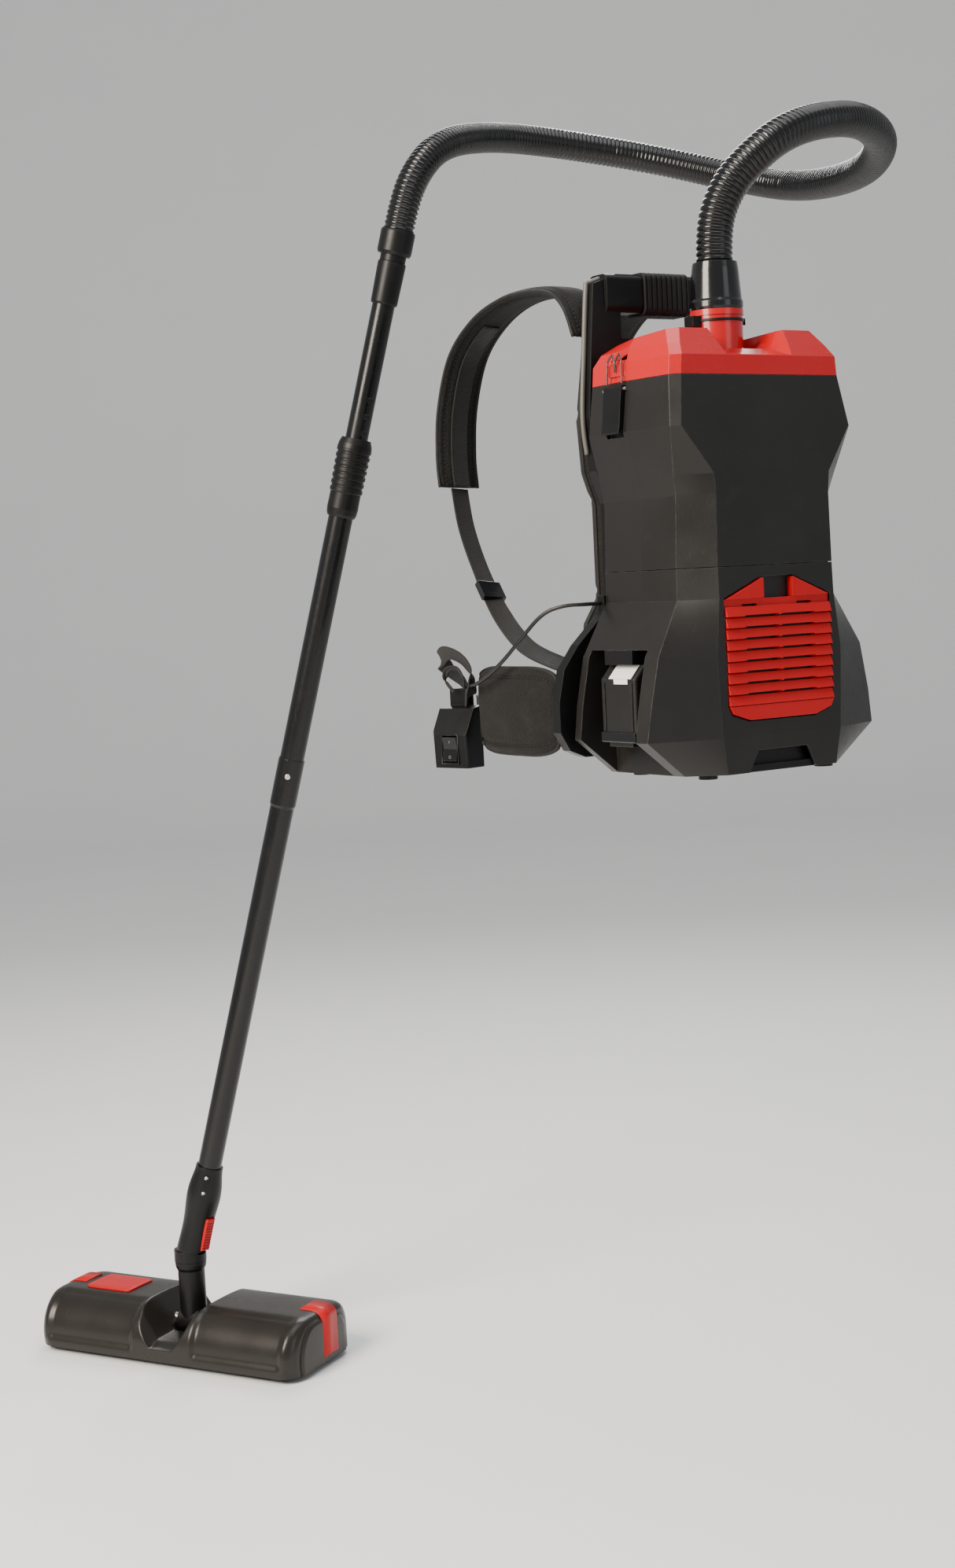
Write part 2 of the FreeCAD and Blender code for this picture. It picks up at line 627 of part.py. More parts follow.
SLIDER_TURN = -72.0        # the slider's place round the housing, degrees about the wand


def make_neck_slider():
    slider = box(16.0, -8, -126, 25.8, 8, -76)
    slider = fillet_edges(slider, 2.5, lambda m, d: m.x > 23)
    for k in range(10):
        z = -122 + 4.3 * k
        slider = slider.cut(box(24.8, -9, z, 27, 9, z + 1.6))
    slider = on_wand(slider, HOUSING_S)
    slider.rotate(SWIVEL, WAND_DIR, SLIDER_TURN)
    return slider


def make_lower_neck():
    top = SWIVEL.z
    upright = revolve_z([(15, PIVOT.z - 2), (20, PIVOT.z - 2), (20, top - 14), (22.6, top - 9), (23.4, top - 4),
                         (23.4, top), (18, top), (18, top + 10), (15, top + 10)], V(SWIVEL.x, SWIVEL.y, 0))
    x_head = head_direction(1, 0)
    barrel = cyl(21, PIVOT - x_head * 17, 34, x_head)
    neck = upright.fuse(barrel)
    neck = neck.cut(cyl(15, V(PIVOT.x, PIVOT.y, PIVOT.z - 3), 60))
    return neck.cut(cyl(6 + FIT, PIVOT - x_head * 40, 80, x_head))


# ---------------------------------------------------------------- cleaning head
def head_direction(x, y):
    a = math.radians(HEAD_YAW)
    return V(x * math.cos(a) - y * math.sin(a), x * math.sin(a) + y * math.cos(a), 0)


def on_head(shape):
    """Head parts are modelled with X along the head, +Y its front and z = 0 on the floor."""
    placed = shape.copy()
    place = FreeCAD.Placement(V(PIVOT.x, PIVOT.y, FLOOR_Z), FreeCAD.Rotation(V(0, 0, 1), HEAD_YAW))
    placed.Placement = place.multiply(placed.Placement)
    return placed


TROUGH_Z = 36.0            # floor of the channel above the sole
ROLLER_Y = 50.0
ROLLER_Z = 27.0
WHEEL_Y = -58.0
PEDAL = (97.0, -36.0, 179.0, 28.0)      # x0, y0, x1, y1 of the red pedal
LATCH = (-34.0, 8.0)       # y range of the end latches
DECK_Z = 74.0              # underside of the pedal recess


def head_body():
    """Outer form of the whole head: a rounded hood in front and a lower, flatter rear."""
    profile = [(HEAD_BACK, 5), (HEAD_BACK, 54), (HEAD_BACK + 5, 69), (HEAD_BACK + 18, 79),
               (-40, HEAD_HEIGHT - 2), (30, HEAD_HEIGHT), (50, HEAD_HEIGHT - 3), (70, 69), (84, 48),
               (HEAD_FRONT, 24), (HEAD_FRONT - 3, 5)]
    points = [V(-HEAD_HALF, y, z) for y, z in profile]
    solid = prism(points, V(2 * HEAD_HALF, 0, 0))
    solid = fillet_edges(solid, 12, lambda m, d: abs(abs(m.x) - HEAD_HALF) < 1 and m.z > 30)
    plan = box(-HEAD_HALF, HEAD_BACK, 0, HEAD_HALF, HEAD_FRONT, 100)
    return solid.common(fillet_edges(plan, HEAD_CORNER, lambda m, d: abs(d.z) > 50))


def shrunk(solid, inset, height):
    """The head's form drawn in on all sides by an inset, and to a share of its height."""
    scale = FreeCAD.Matrix()
    depth = (HEAD_FRONT - HEAD_BACK) / 2
    scale.scale(V(1 - inset / HEAD_HALF, 1 - 0.66 * inset / depth, height))
    return solid.transformGeometry(scale)


def trough(grow, floor):
    """Channel across the middle of the head where the neck stands and folds back."""
    low, high = 24 + grow, 50 + grow
    points = [V(-low, -120, floor), V(low, -120, floor), V(high, -120, HEAD_HEIGHT + 5),
              V(-high, -120, HEAD_HEIGHT + 5)]
    return prism(points, V(0, 300, 0))


def make_head():
    body = head_body()
    below = box(-300, -150, 0, 300, 150, SKIRT_Z)
    cover = body.cut(shrunk(body, HEAD_WALL, 0.94))
    cover = cover.fuse(trough(3, TROUGH_Z - 3).common(body)).cut(trough(0, TROUGH_Z))
    cover = cover.cut(below)
    cover = cover.cut(cyl(24, V(-60, 0, PIVOT_HEIGHT), 120, V(1, 0, 0)).common(box(-22, -40, 0, 22, 40, 90)))
    cover = cover.cut(cyl(6.0, V(-34, 0, PIVOT_HEIGHT), 68, V(1, 0, 0)))
    cover = cover.cut(box(PEDAL[0] - 1, PEDAL[1] - 1, DECK_Z - 10, PEDAL[2] + 1, PEDAL[3] + 1, 100))
    for sign in (-1, 1):
        latch_x = sorted((sign * 192, sign * 240))
        cover = cover.cut(box(latch_x[0], LATCH[0] - 1, 24, latch_x[1], LATCH[1] + 1, 100)
                          .cut(box(-224, -100, 0, 224, 100, 78)))
    nodes["head_cover"] = on_head(cover)
    tray = shrunk(body, HEAD_WALL + 0.8, 1.0)
    base = tray.common(box(-300, -150, SOLE_Z, 300, 150, TRAY_TOP))
    base = base.cut(box(-HEAD_HALF + 12, -66, 9, HEAD_HALF - 12, 78, 40))
    base = base.fuse(box(-28, -60, 9, 28, 20, TRAY_TOP).common(tray))
    base = base.cut(box(-212, ROLLER_Y - 22, 0, 212, ROLLER_Y + 22, 30))
    for sign in (-1, 1):
        bearing = box(-4, ROLLER_Y - 10, 9, 4, ROLLER_Y + 10, ROLLER_Z + 8)
        bearing.translate(V(sign * 217, 0, 0))
        base = base.fuse(bearing)
    base = base.cut(cyl(4 + FIT, V(-216, ROLLER_Y, ROLLER_Z), 432, V(1, 0, 0)))
    for sign in (-1, 1):
        base = base.cut(box(sign * 150 - 9, WHEEL_Y - 15, 0, sign * 150 + 9, WHEEL_Y + 15, 30))
    base = base.fuse(box(-141, WHEEL_Y - 5, 9, 141, WHEEL_Y + 5, 19))
    base = base.cut(cyl(3 + FIT, V(-170, WHEEL_Y, 13), 340, V(1, 0, 0)))
    nodes["head_base"] = on_head(base)
    core = cyl(4, V(-215.8, ROLLER_Y, ROLLER_Z), 431.6, V(1, 0, 0))
    for side in (-1, 1):
        core = core.fuse(cyl(14, V(side * 134 - 74, ROLLER_Y, ROLLER_Z), 148, V(1, 0, 0)))
    for row in range(4):
        for side in (-1, 1):
            tuft = Part.makeBox(146, 3, 8.2, V(61 if side > 0 else -207, -1.5, 13))
            tuft.rotate(V(0, 0, 0), V(1, 0, 0), 90 * row + (12 if side > 0 else -12))
            tuft.translate(V(0, ROLLER_Y, ROLLER_Z))
            core = core.fuse(tuft)
    nodes["roller"] = on_head(core)
    pulley_motor = cyl(15, V(62, -28, 34), 90, V(1, 0, 0))
    nodes["head_motor"] = on_head(pulley_motor)
    wheels = cyl(3, V(-158, WHEEL_Y, 13), 316, V(1, 0, 0))
    for sign in (-1, 1):
        wheels = wheels.fuse(cyl(13, V(sign * 150 - 7, WHEEL_Y, 13), 14, V(1, 0, 0)))
    nodes["wheel_set"] = on_head(wheels)
    button = box(PEDAL[0], PEDAL[1], DECK_Z, PEDAL[2], PEDAL[3], HEAD_HEIGHT + 1)
    button = fillet_edges(button, 3, lambda m, d: m.z > HEAD_HEIGHT)
    stem = box(PEDAL[0] + 12, PEDAL[1] + 12, DECK_Z - 6, PEDAL[2] - 12, PEDAL[3] - 12, DECK_Z + 1)
    nodes["head_button"] = on_head(button.fuse(stem))
    for sign, name in ((-1, "end_latch_right"), (1, "end_latch_left")):
        latch = box(193, LATCH[0], 25, 230.5, LATCH[1], HEAD_HEIGHT + 1).cut(box(180, -100, 0, 225, 100, 79))
        nodes[name] = on_head(latch if sign > 0 else mirrored(latch))
    pin = cyl(6, V(-34, 0, PIVOT_HEIGHT), 68, V(1, 0, 0))
    nodes["neck_pin"] = on_head(pin)


# ---------------------------------------------------------------- harness
def make_harness_frame():
    half = [(71, HANDLE_TOP), (HANDLE_HALF, 339), (112, 262), (118, 183), (112, 120), (97, 82), (97, -30),
            (112, -50), (150, -84), (172, -112), (181, -150), (181, -186), (168, -208), (146, -217)]
    depth = FRAME_FRONT_Y - FRAME_BACK_Y
    right = [V(x, FRAME_BACK_Y, z) for x, z in half]
    left = [V(-p.x, p.y, p.z) for p in reversed(right)]
    frame = prism(right + left, V(0, depth, 0))
    frame = frame.cut(box(-WINDOW_HALF, -80, WINDOW_Z[0], WINDOW_HALF, 0, WINDOW_Z[1]))
    # lightening windows behind the pad
    for z0, z1, half_w in ((196, 250, 70), (60, 160, 60), (-70, 30, 60)):
        frame = frame.cut(box(-half_w, -80, z0, half_w, 0, z1))
    handle = box(-88, -60, WINDOW_Z[1], 88, -26, HANDLE_TOP)
    handle = fillet_edges(handle, 8, lambda m, d: abs(d.x) > 50)
    frame = frame.fuse(handle)
    for x in (-80, 80):
        for z in (180, -20, -180):
            boss_y = BODY_BACK_Y
            frame = frame.fuse(cyl(9, V(x, boss_y, z), FRAME_BACK_Y - boss_y, V(0, 1, 0)))
    return frame


def make_handle_grip(frame):
    grip = box(-33, -63, WINDOW_Z[1] - 3, 33, -23, HANDLE_TOP + 3)
    grip = fillet_edges(grip, 9, lambda m, d: abs(d.x) > 50)
    core = box(-40, -60, WINDOW_Z[1], 40, -26, HANDLE_TOP)
    core = fillet_edges(core, 8, lambda m, d: abs(d.x) > 50)
    for k in range(9):
        x = -30 + 7.5 * k - 1.4
        groove = box(x, -70, 290, x + 2.8, 0, 370)
        inside = box(-50, -61.5, WINDOW_Z[1] - 1.5, 50, -24.5, HANDLE_TOP + 1.5)
        grip = grip.cut(groove.cut(inside))
    return grip.cut(core).cut(frame)


def make_back_pad():
    half = [(60, 272), (96, 262), (108, 183), (104, 120), (90, 82), (90, -30), (110, -60), (120, -120),
            (120, -190), (100, -214)]
    points = [V(x, PAD_BACK_Y, z) for x, z in half]
    points += [V(-p.x, p.y, p.z) for p in reversed(points)]
    pad = prism(points, V(0, -PAD_BACK_Y, 0))
    return fillet_edges(pad, 10, lambda m, d: m.y > -1)


BELT_ROUTE = [V(-172, -34, 0), V(-177, 40, 0), V(-172, 112, 0), V(-155, 168, 0), V(-124, 208, 0),
              V(-76, 234, 0), V(-30, 243, 0)]
HIP_PAD_Z = -162.0
BELT_Z = -166.0


def make_belt():
    up = V(0, 0, 1)
    pad_line = [p + V(0, 0, HIP_PAD_Z) for p in BELT_ROUTE[:3]] + [V(-167, 127, HIP_PAD_Z - 2)]
    pad_line[0] = V(-171, -38, HIP_PAD_Z)
    pad = ribbon(pad_line, 106, 15, up)
    nodes["hip_pad_left"] = pad
    nodes["hip_pad_right"] = mirrored(pad)
    web_line = [V(-160.5, 138, BELT_Z), V(-154, 156, BELT_Z), V(-144, 176, BELT_Z),
                V(-124, 200, BELT_Z), V(-78, 228, BELT_Z), V(-32, 238, BELT_Z)]
    web = ribbon(web_line, 38, 3, up)
    nodes["belt_webbing_left"] = web
    nodes["belt_webbing_right"] = mirrored(web)
    socket = box(-31, 232.5, BELT_Z - 24, 14, 246.5, BELT_Z + 24)
    socket = socket.cut(box(-18, 235.5, BELT_Z - 17, 15, 243.5, BELT_Z + 17))
    nodes["buckle_socket"] = socket
    plug = box(14.5, 233.5, BELT_Z - 23, 31, 245.5, BELT_Z + 23)
    plug = plug.fuse(box(-14, 236.2, BELT_Z - 4, 16, 242.8, BELT_Z + 4))
    for sign in (-1, 1):
        plug = plug.fuse(box(-12, 236.2, BELT_Z + sign * 13 - 3, 16, 242.8, BELT_Z + sign * 13 + 3))
    nodes["buckle_plug"] = plug


SWITCH_SPOT = V(-156, 170, -183)
SWITCH_OUT = V(-0.97, -0.243, 0)


def on_switch(shape):
    """Switch parts: local +X is out from the belt, Y is along it, Z up."""
    placed = shape.copy()
    angle = math.degrees(math.atan2(SWITCH_OUT.y, SWITCH_OUT.x))
    placed.Placement = FreeCAD.Placement(SWITCH_SPOT, FreeCAD.Rotation(V(0, 0, 1), angle))
    return placed


def make_switch():
    bracket = box(2.5, -24, -34, 15, 5, 46)
    case = prism([V(14.5, -29, -52), V(44, -29, -52), V(46, -29, -10), V(40, -29, 2), V(30, -29, 22),
                  V(14.5, -29, 25.5)], V(0, 58, 0))
    case = fillet_edges(case, 4, lambda m, d: m.x > 38 and abs(d.z) > 20)
    solid = bracket.fuse(case)
    solid = solid.cut(box(35, -12, -45, 50, 12, -11))
    solid = solid.cut(cyl(1.5 + FIT, V(40.5, -14, -28), 28, V(0, 1, 0)))
    rocker = prism([V(40.2, -11.5, -43), V(46.8, -11.5, -43), V(44.6, -11.5, -28), V(46.8, -11.5, -13),
                    V(40.2, -11.5, -13)], V(0, 23, 0))
    rocker = rocker.fuse(cyl(1.5, V(40.5, -13.8, -28), 27.6, V(0, 1, 0)))
    nodes["switch_box"] = on_switch(solid)
    nodes["switch_rocker"] = on_switch(rocker)


# Shoulder straps: padded upper length, then webbing down to the frame
STRAP_ROUTE = [V(-92, -33, 280), V(-92, -17, 314), V(-93, 8, 335), V(-95, 52, 343), V(-99, 110, 340),
               V(-104, 165, 321), V(-110, 210, 282), V(-117, 230, 220), V(-124, 228, 160), V(-126, 222, 118)]
WEB_ROUTE = [V(-126, 221, 116), V(-132, 200, 66), V(-140, 160, 12), V(-150, 104, -44), V(-156, 44, -84),
             V(-150, -10, -104), V(-140, -38, -112)]


def make_straps():
    across = V(1, 0, 0)
    pad = ribbon(STRAP_ROUTE, 58, 12, across)
    web = ribbon(WEB_ROUTE, 25, 2.4, [V(1, 0, 0)] * 3 + [V(0.8, 0.2, 0.5)] * 4)
    web = web.cut(pad)
    nodes["shoulder_strap_left"] = pad
    nodes["shoulder_strap_right"] = mirrored(pad)
    nodes["strap_webbing_left"] = web
    nodes["strap_webbing_right"] = mirrored(web)
    adjuster = box(-16, -4, -14, 16, 4, 14)
    adjuster = adjuster.cut(box(-13, 1.8, -10, 13, 5, -3)).cut(box(-13, 1.8, 3, 13, 5, 10))
    along = (WEB_ROUTE[2] - WEB_ROUTE[3]).normalize()
    middle = (WEB_ROUTE[2] + WEB_ROUTE[3]) * 0.5
    adjuster.Placement = FreeCAD.Placement(middle, FreeCAD.Rotation(V(0, 0, 1), along))
    adjuster = adjuster.cut(web)
    nodes["strap_adjusters"] = Part.makeCompound([adjuster, mirrored(adjuster)])


LEAD_R = 2.4
LEAD_ROUTE = [V(-119, -62, -36), V(-141, -62, -36), V(-161, -46, -36), V(-177, -24, -44),
              V(-190, 2, -72), V(-197, 34, -100), V(-199, 72, -121), V(-193, 108, -131),
              V(-185, 131, -131), V(-178.4, 147.2, -139.4), V(-176.4, 152.6, -159.3)]


def make_switch_lead():
    wire = cord_wire("lead", LEAD_ROUTE)
    solid = swept(wire, LEAD_ROUTE[0], LEAD_ROUTE[1] - LEAD_ROUTE[0], LEAD_R)
    print("lead volume ratio", round(solid.Volume / (math.pi * LEAD_R ** 2 * wire.Length), 3))
    return solid


def make_cable_clip():
    return box(-119, BODY_BACK_Y + 0.1, -46, -103, -56.6, -27)


# ---------------------------------------------------------------- build and write
nodes["upper_shell"] = make_upper_shell()
nodes["lower_shell"] = make_lower_shell()
nodes["base_plate"] = make_base_plate()
nodes["base_screws"] = make_base_screws()
nodes["lid"] = make_lid()
nodes["lid_seal"] = make_lid_seal()
pins = []
for side, sign in (("left", -1), ("right", 1)):
    lever, bail, pin = make_latch(sign)
    nodes["latch_lever_" + side] = lever
    nodes["latch_bail_" + side] = bail
    pins.append(pin)
nodes["latch_pins"] = Part.makeCompound(pins)
nodes["dust_bag"] = make_dust_bag()
nodes["motor_filter"] = make_motor_filter()
nodes["motor"] = make_motor()
nodes["impeller"] = make_impeller()
nodes["exhaust_filter"] = make_exhaust_filter()
nodes["exhaust_grille"] = make_grille()
nodes["control_board"] = make_control_board()
nodes["battery_dock"] = make_battery_dock()
nodes["battery"] = make_battery()
nodes["pack_cuff"] = make_pack_cuff()
nodes["neck_clamp"] = make_neck_clamp()
nodes["hose"] = make_hose()
make_wand()
nodes["neck_housing"] = make_neck_housing()
nodes["neck_slider"] = make_neck_slider()
nodes["lower_neck"] = make_lower_neck()
make_head()
nodes["harness_frame"] = make_harness_frame()
nodes["handle_grip"] = make_handle_grip(nodes["harness_frame"])
nodes["back_pad"] = make_back_pad()
make_belt()
make_switch()
make_straps()
nodes["switch_lead"] = make_switch_lead()
nodes["cable_clip"] = make_cable_clip()

for name, shape in nodes.items():
    if shape.isNull() or not shape.isValid() or shape.Volume < 1:
        print("CHECK", name, "valid", shape.isValid(), "volume", shape.Volume)
    shape.exportStep("parts/" + name + ".step")
print(len(nodes), "nodes written")
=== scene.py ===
import json
import math
import bpy
from mathutils import Matrix, Vector


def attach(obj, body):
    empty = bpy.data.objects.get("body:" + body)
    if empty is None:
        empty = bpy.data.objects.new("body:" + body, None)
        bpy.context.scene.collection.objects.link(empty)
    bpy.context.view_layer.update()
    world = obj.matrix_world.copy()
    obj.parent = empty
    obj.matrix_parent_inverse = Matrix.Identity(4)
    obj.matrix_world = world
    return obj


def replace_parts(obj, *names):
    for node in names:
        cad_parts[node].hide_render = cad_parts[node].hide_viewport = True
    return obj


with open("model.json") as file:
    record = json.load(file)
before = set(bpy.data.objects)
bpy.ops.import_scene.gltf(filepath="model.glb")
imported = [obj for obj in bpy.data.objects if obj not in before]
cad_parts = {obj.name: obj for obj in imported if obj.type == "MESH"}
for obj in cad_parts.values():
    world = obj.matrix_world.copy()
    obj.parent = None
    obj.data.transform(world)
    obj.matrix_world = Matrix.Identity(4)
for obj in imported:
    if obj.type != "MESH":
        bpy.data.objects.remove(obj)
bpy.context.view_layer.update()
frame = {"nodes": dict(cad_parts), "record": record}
NODES = frame["nodes"]
MM = 0.001
FLOOR_Z = -1.132


# ---------------------------------------------------------------- materials
class Nodes:
    """A material's node tree with short calls for the nodes used below."""

    def __init__(self, name, color, rough, metallic=0.0, coat=0.0, specular=0.5):
        self.mat = bpy.data.materials.new(name)
        self.mat.use_nodes = True
        self.tree = self.mat.node_tree
        self.shader = self.tree.nodes["Principled BSDF"]
        self.shader.inputs["Base Color"].default_value = (*color, 1)
        self.shader.inputs["Roughness"].default_value = rough
        self.shader.inputs["Metallic"].default_value = metallic
        self.shader.inputs["Coat Weight"].default_value = coat
        self.shader.inputs["Coat Roughness"].default_value = 0.08
        self.shader.inputs["Specular IOR Level"].default_value = specular
        self.mat.diffuse_color = (*color, 1)
        self.coords = self.tree.nodes.new("ShaderNodeTexCoord")
        self.normal = None

    def add(self, kind, **settings):
        node = self.tree.nodes.new(kind)
        for key, value in settings.items():
            setattr(node, key, value)
        return node

    def link(self, a, b):
        self.tree.links.new(a, b)

    def stretched(self, scale, space="Object"):
        mapping = self.add("ShaderNodeMapping")
        mapping.inputs["Scale"].default_value = scale
        self.link(self.coords.outputs[space], mapping.inputs["Vector"])
        return mapping.outputs["Vector"]

    def noise(self, scale, detail=3.0, stretch=(1, 1, 1), space="Object"):
        node = self.add("ShaderNodeTexNoise")
        node.inputs["Scale"].default_value = scale
        node.inputs["Detail"].default_value = detail
        self.link(self.stretched(stretch, space), node.inputs["Vector"])
        return node.outputs["Fac"]

    def voronoi(self, scale, stretch=(1, 1, 1), space="Object"):
        node = self.add("ShaderNodeTexVoronoi")
        node.inputs["Scale"].default_value = scale
        self.link(self.stretched(stretch, space), node.inputs["Vector"])
        return node.outputs["Distance"]

    def remap(self, value, low, high, to_low, to_high):
        node = self.add("ShaderNodeMapRange")
        node.inputs["From Min"].default_value = low
        node.inputs["From Max"].default_value = high
        node.inputs["To Min"].default_value = to_low
        node.inputs["To Max"].default_value = to_high
        self.link(value, node.inputs["Value"])
        return node.outputs["Result"]

    def maths(self, operation, a, b):
        node = self.add("ShaderNodeMath", operation=operation)
        for value, socket in ((a, node.inputs[0]), (b, node.inputs[1])):
            if isinstance(value, (int, float)):
                socket.default_value = value
            else:
                self.link(value, socket)
        return node.outputs["Value"]

    def bump(self, height, strength, distance):
        node = self.add("ShaderNodeBump")
        node.inputs["Strength"].default_value = strength
        node.inputs["Distance"].default_value = distance
        self.link(height, node.inputs["Height"])
        if self.normal is not None:
            self.link(self.normal, node.inputs["Normal"])
        self.normal = node.outputs["Normal"]
        self.link(self.normal, self.shader.inputs["Normal"])

    def rounded(self, radius):
        """Softens sharp edges to a moulded radius; returns how much of an edge a point is."""
        bevel = self.add("ShaderNodeBevel", samples=4)
        bevel.inputs["Radius"].default_value = radius
        self.normal = bevel.outputs["Normal"]
        self.link(self.normal, self.shader.inputs["Normal"])
        dot = self.add("ShaderNodeVectorMath", operation="DOT_PRODUCT")
        geometry = self.add("ShaderNodeNewGeometry")
        self.link(bevel.outputs["Normal"], dot.inputs[0])
        self.link(geometry.outputs["Normal"], dot.inputs[1])
        return self.remap(dot.outputs["Value"], 1.0, 0.86, 0.0, 1.0)

    def tint(self, factor, color):
        """Mixes the base colour towards another by factor."""
        mix = self.add("ShaderNodeMix", data_type="RGBA")
        source = self.shader.inputs["Base Color"]
        if source.is_linked:
            self.link(source.links[0].from_socket, mix.inputs["A"])
        else:
            mix.inputs["A"].default_value = source.default_value
        mix.inputs["B"].default_value = (*color, 1)
        self.link(factor, mix.inputs["Factor"])
        self.link(mix.outputs["Result"], source)

    def roughness(self, value):
        self.link(value, self.shader.inputs["Roughness"])


def lighter(color, amount):
    return tuple(min(1.0, c + amount) for c in color)


def plastic(name, color, rough, grain=1400, depth=0.00006, coat=0.0, edge=0.0012, wear_and_highlight=0.05, specular=0.5):
    """Moulded plastic: spark texture, cloudy gloss, hair scratches and slightly lighter edges, partly edge
    wear and partly a painted highlight.
    """
    n = Nodes(name, color, rough, coat=coat, specular=specular)
    edges = n.rounded(edge)
    # Edges tinted lighter in patches: partly edge wear, partly a painted highlight along the moulded edges.
    broken = n.remap(n.noise(90, 4), 0.42, 0.62, 0.15, 1.0)
    n.tint(n.maths("MULTIPLY", edges, broken), lighter(color, wear_and_highlight))
    dust = n.remap(n.noise(9, 5), 0.5, 0.78, 0.0, 0.12)
    n.tint(dust, lighter(color, 0.012))
    scratch = n.remap(n.noise(60, 2, (1, 14, 1.5)), 0.62, 0.7, 0.0, 0.12)
    cloud = n.remap(n.noise(14, 4), 0.3, 0.7, rough - 0.05, rough + 0.07)
    n.roughness(n.maths("ADD", cloud, scratch))
    n.bump(n.noise(grain, 2), 0.5, depth)
    return n


def metal(name, color, rough, stretch=(1, 1, 30)):
    n = Nodes(name, color, rough, metallic=1.0)
    n.rounded(0.0005)
    n.roughness(n.remap(n.noise(120, 3, stretch), 0.3, 0.7, rough - 0.08, rough + 0.14))
    n.tint(n.remap(n.noise(25, 4), 0.45, 0.75, 0, 0.35), lighter(color, -0.08 if min(color) > 0.1 else 0.05))
    n.bump(n.noise(400, 2, stretch), 0.2, 0.00004)
    return n


def mesh_fabric(name, color):
    """Spacer mesh: rows of small open cells, on the UV map in metres."""
    n = Nodes(name, color, 0.85, specular=0.2)
    n.shader.inputs["Sheen Weight"].default_value = 0.03
    n.shader.inputs["Sheen Roughness"].default_value = 0.5
    cells = n.voronoi(430, (1, 0.75, 1), "UV")
    holes = n.remap(cells, 0.15, 0.55, 1.0, 0.0)
    n.tint(n.maths("MULTIPLY", holes, 0.75), tuple(c * 0.25 for c in color))
    n.tint(n.remap(n.noise(30, 4, space="UV"), 0.5, 0.75, 0, 0.3), lighter(color, 0.01))
    n.bump(cells, 0.8, 0.0006)
    n.bump(n.noise(25, 3, space="UV"), 0.25, 0.002)
    return n


def ribbed_fabric(name, color, pitch=0.0016):
    """Webbing: ribs across the strap and fine yarns along it, on the UV map in metres (U along)."""
    n = Nodes(name, color, 0.6, specular=0.35)
    n.shader.inputs["Sheen Weight"].default_value = 0.03
    ribs = n.add("ShaderNodeTexWave", wave_type="BANDS", bands_direction="X")
    ribs.inputs["Scale"].default_value = 0.314 / pitch
    ribs.inputs["Distortion"].default_value = 0.6
    ribs.inputs["Detail"].default_value = 1.0
    n.link(n.coords.outputs["UV"], ribs.inputs["Vector"])
    yarns = n.add("ShaderNodeTexWave", wave_type="BANDS", bands_direction="Y")
    yarns.inputs["Scale"].default_value = 0.314 / 0.0011
    n.link(n.coords.outputs["UV"], yarns.inputs["Vector"])
    weave = n.maths("MULTIPLY", ribs.outputs["Fac"], n.maths("ADD", yarns.outputs["Fac"], 0.6))
    n.tint(n.remap(weave, 0.1, 1.2, 0.5, 0.0), tuple(c * 0.35 for c in color))
    n.roughness(n.remap(n.noise(20, 3, space="UV"), 0.3, 0.7, 0.5, 0.72))
    n.bump(weave, 0.9, 0.0004)
    return n


def binding_fabric(name, color):
    n = Nodes(name, color, 0.7, specular=0.3)
    n.tint(n.remap(n.voronoi(900), 0.1, 0.6, 0.6, 0.0), tuple(c * 0.4 for c in color))
    n.roughness(n.remap(n.noise(40, 3), 0.3, 0.7, 0.55, 0.8))
    n.bump(n.voronoi(900), 0.6, 0.0003)
    return n


def rubber(name, color, rough=0.62):
    n = Nodes(name, color, rough, specular=0.35)
    n.rounded(0.0008)
    n.roughness(n.remap(n.noise(35, 4), 0.3, 0.7, rough - 0.1, rough + 0.12))
    n.tint(n.remap(n.noise(12, 5), 0.5, 0.8, 0, 0.4), lighter(color, 0.01))
    n.bump(n.noise(900, 2), 0.4, 0.00008)
    return n


def paper(name, color):
    n = Nodes(name, color, 0.9, specular=0.1)
    n.tint(n.remap(n.noise(400, 4), 0.4, 0.7, 0, 0.3), tuple(c * 0.8 for c in color))
    n.roughness(n.remap(n.noise(80, 3), 0.3, 0.7, 0.8, 0.95))
    n.bump(n.noise(700, 3), 0.5, 0.0002)
    return n


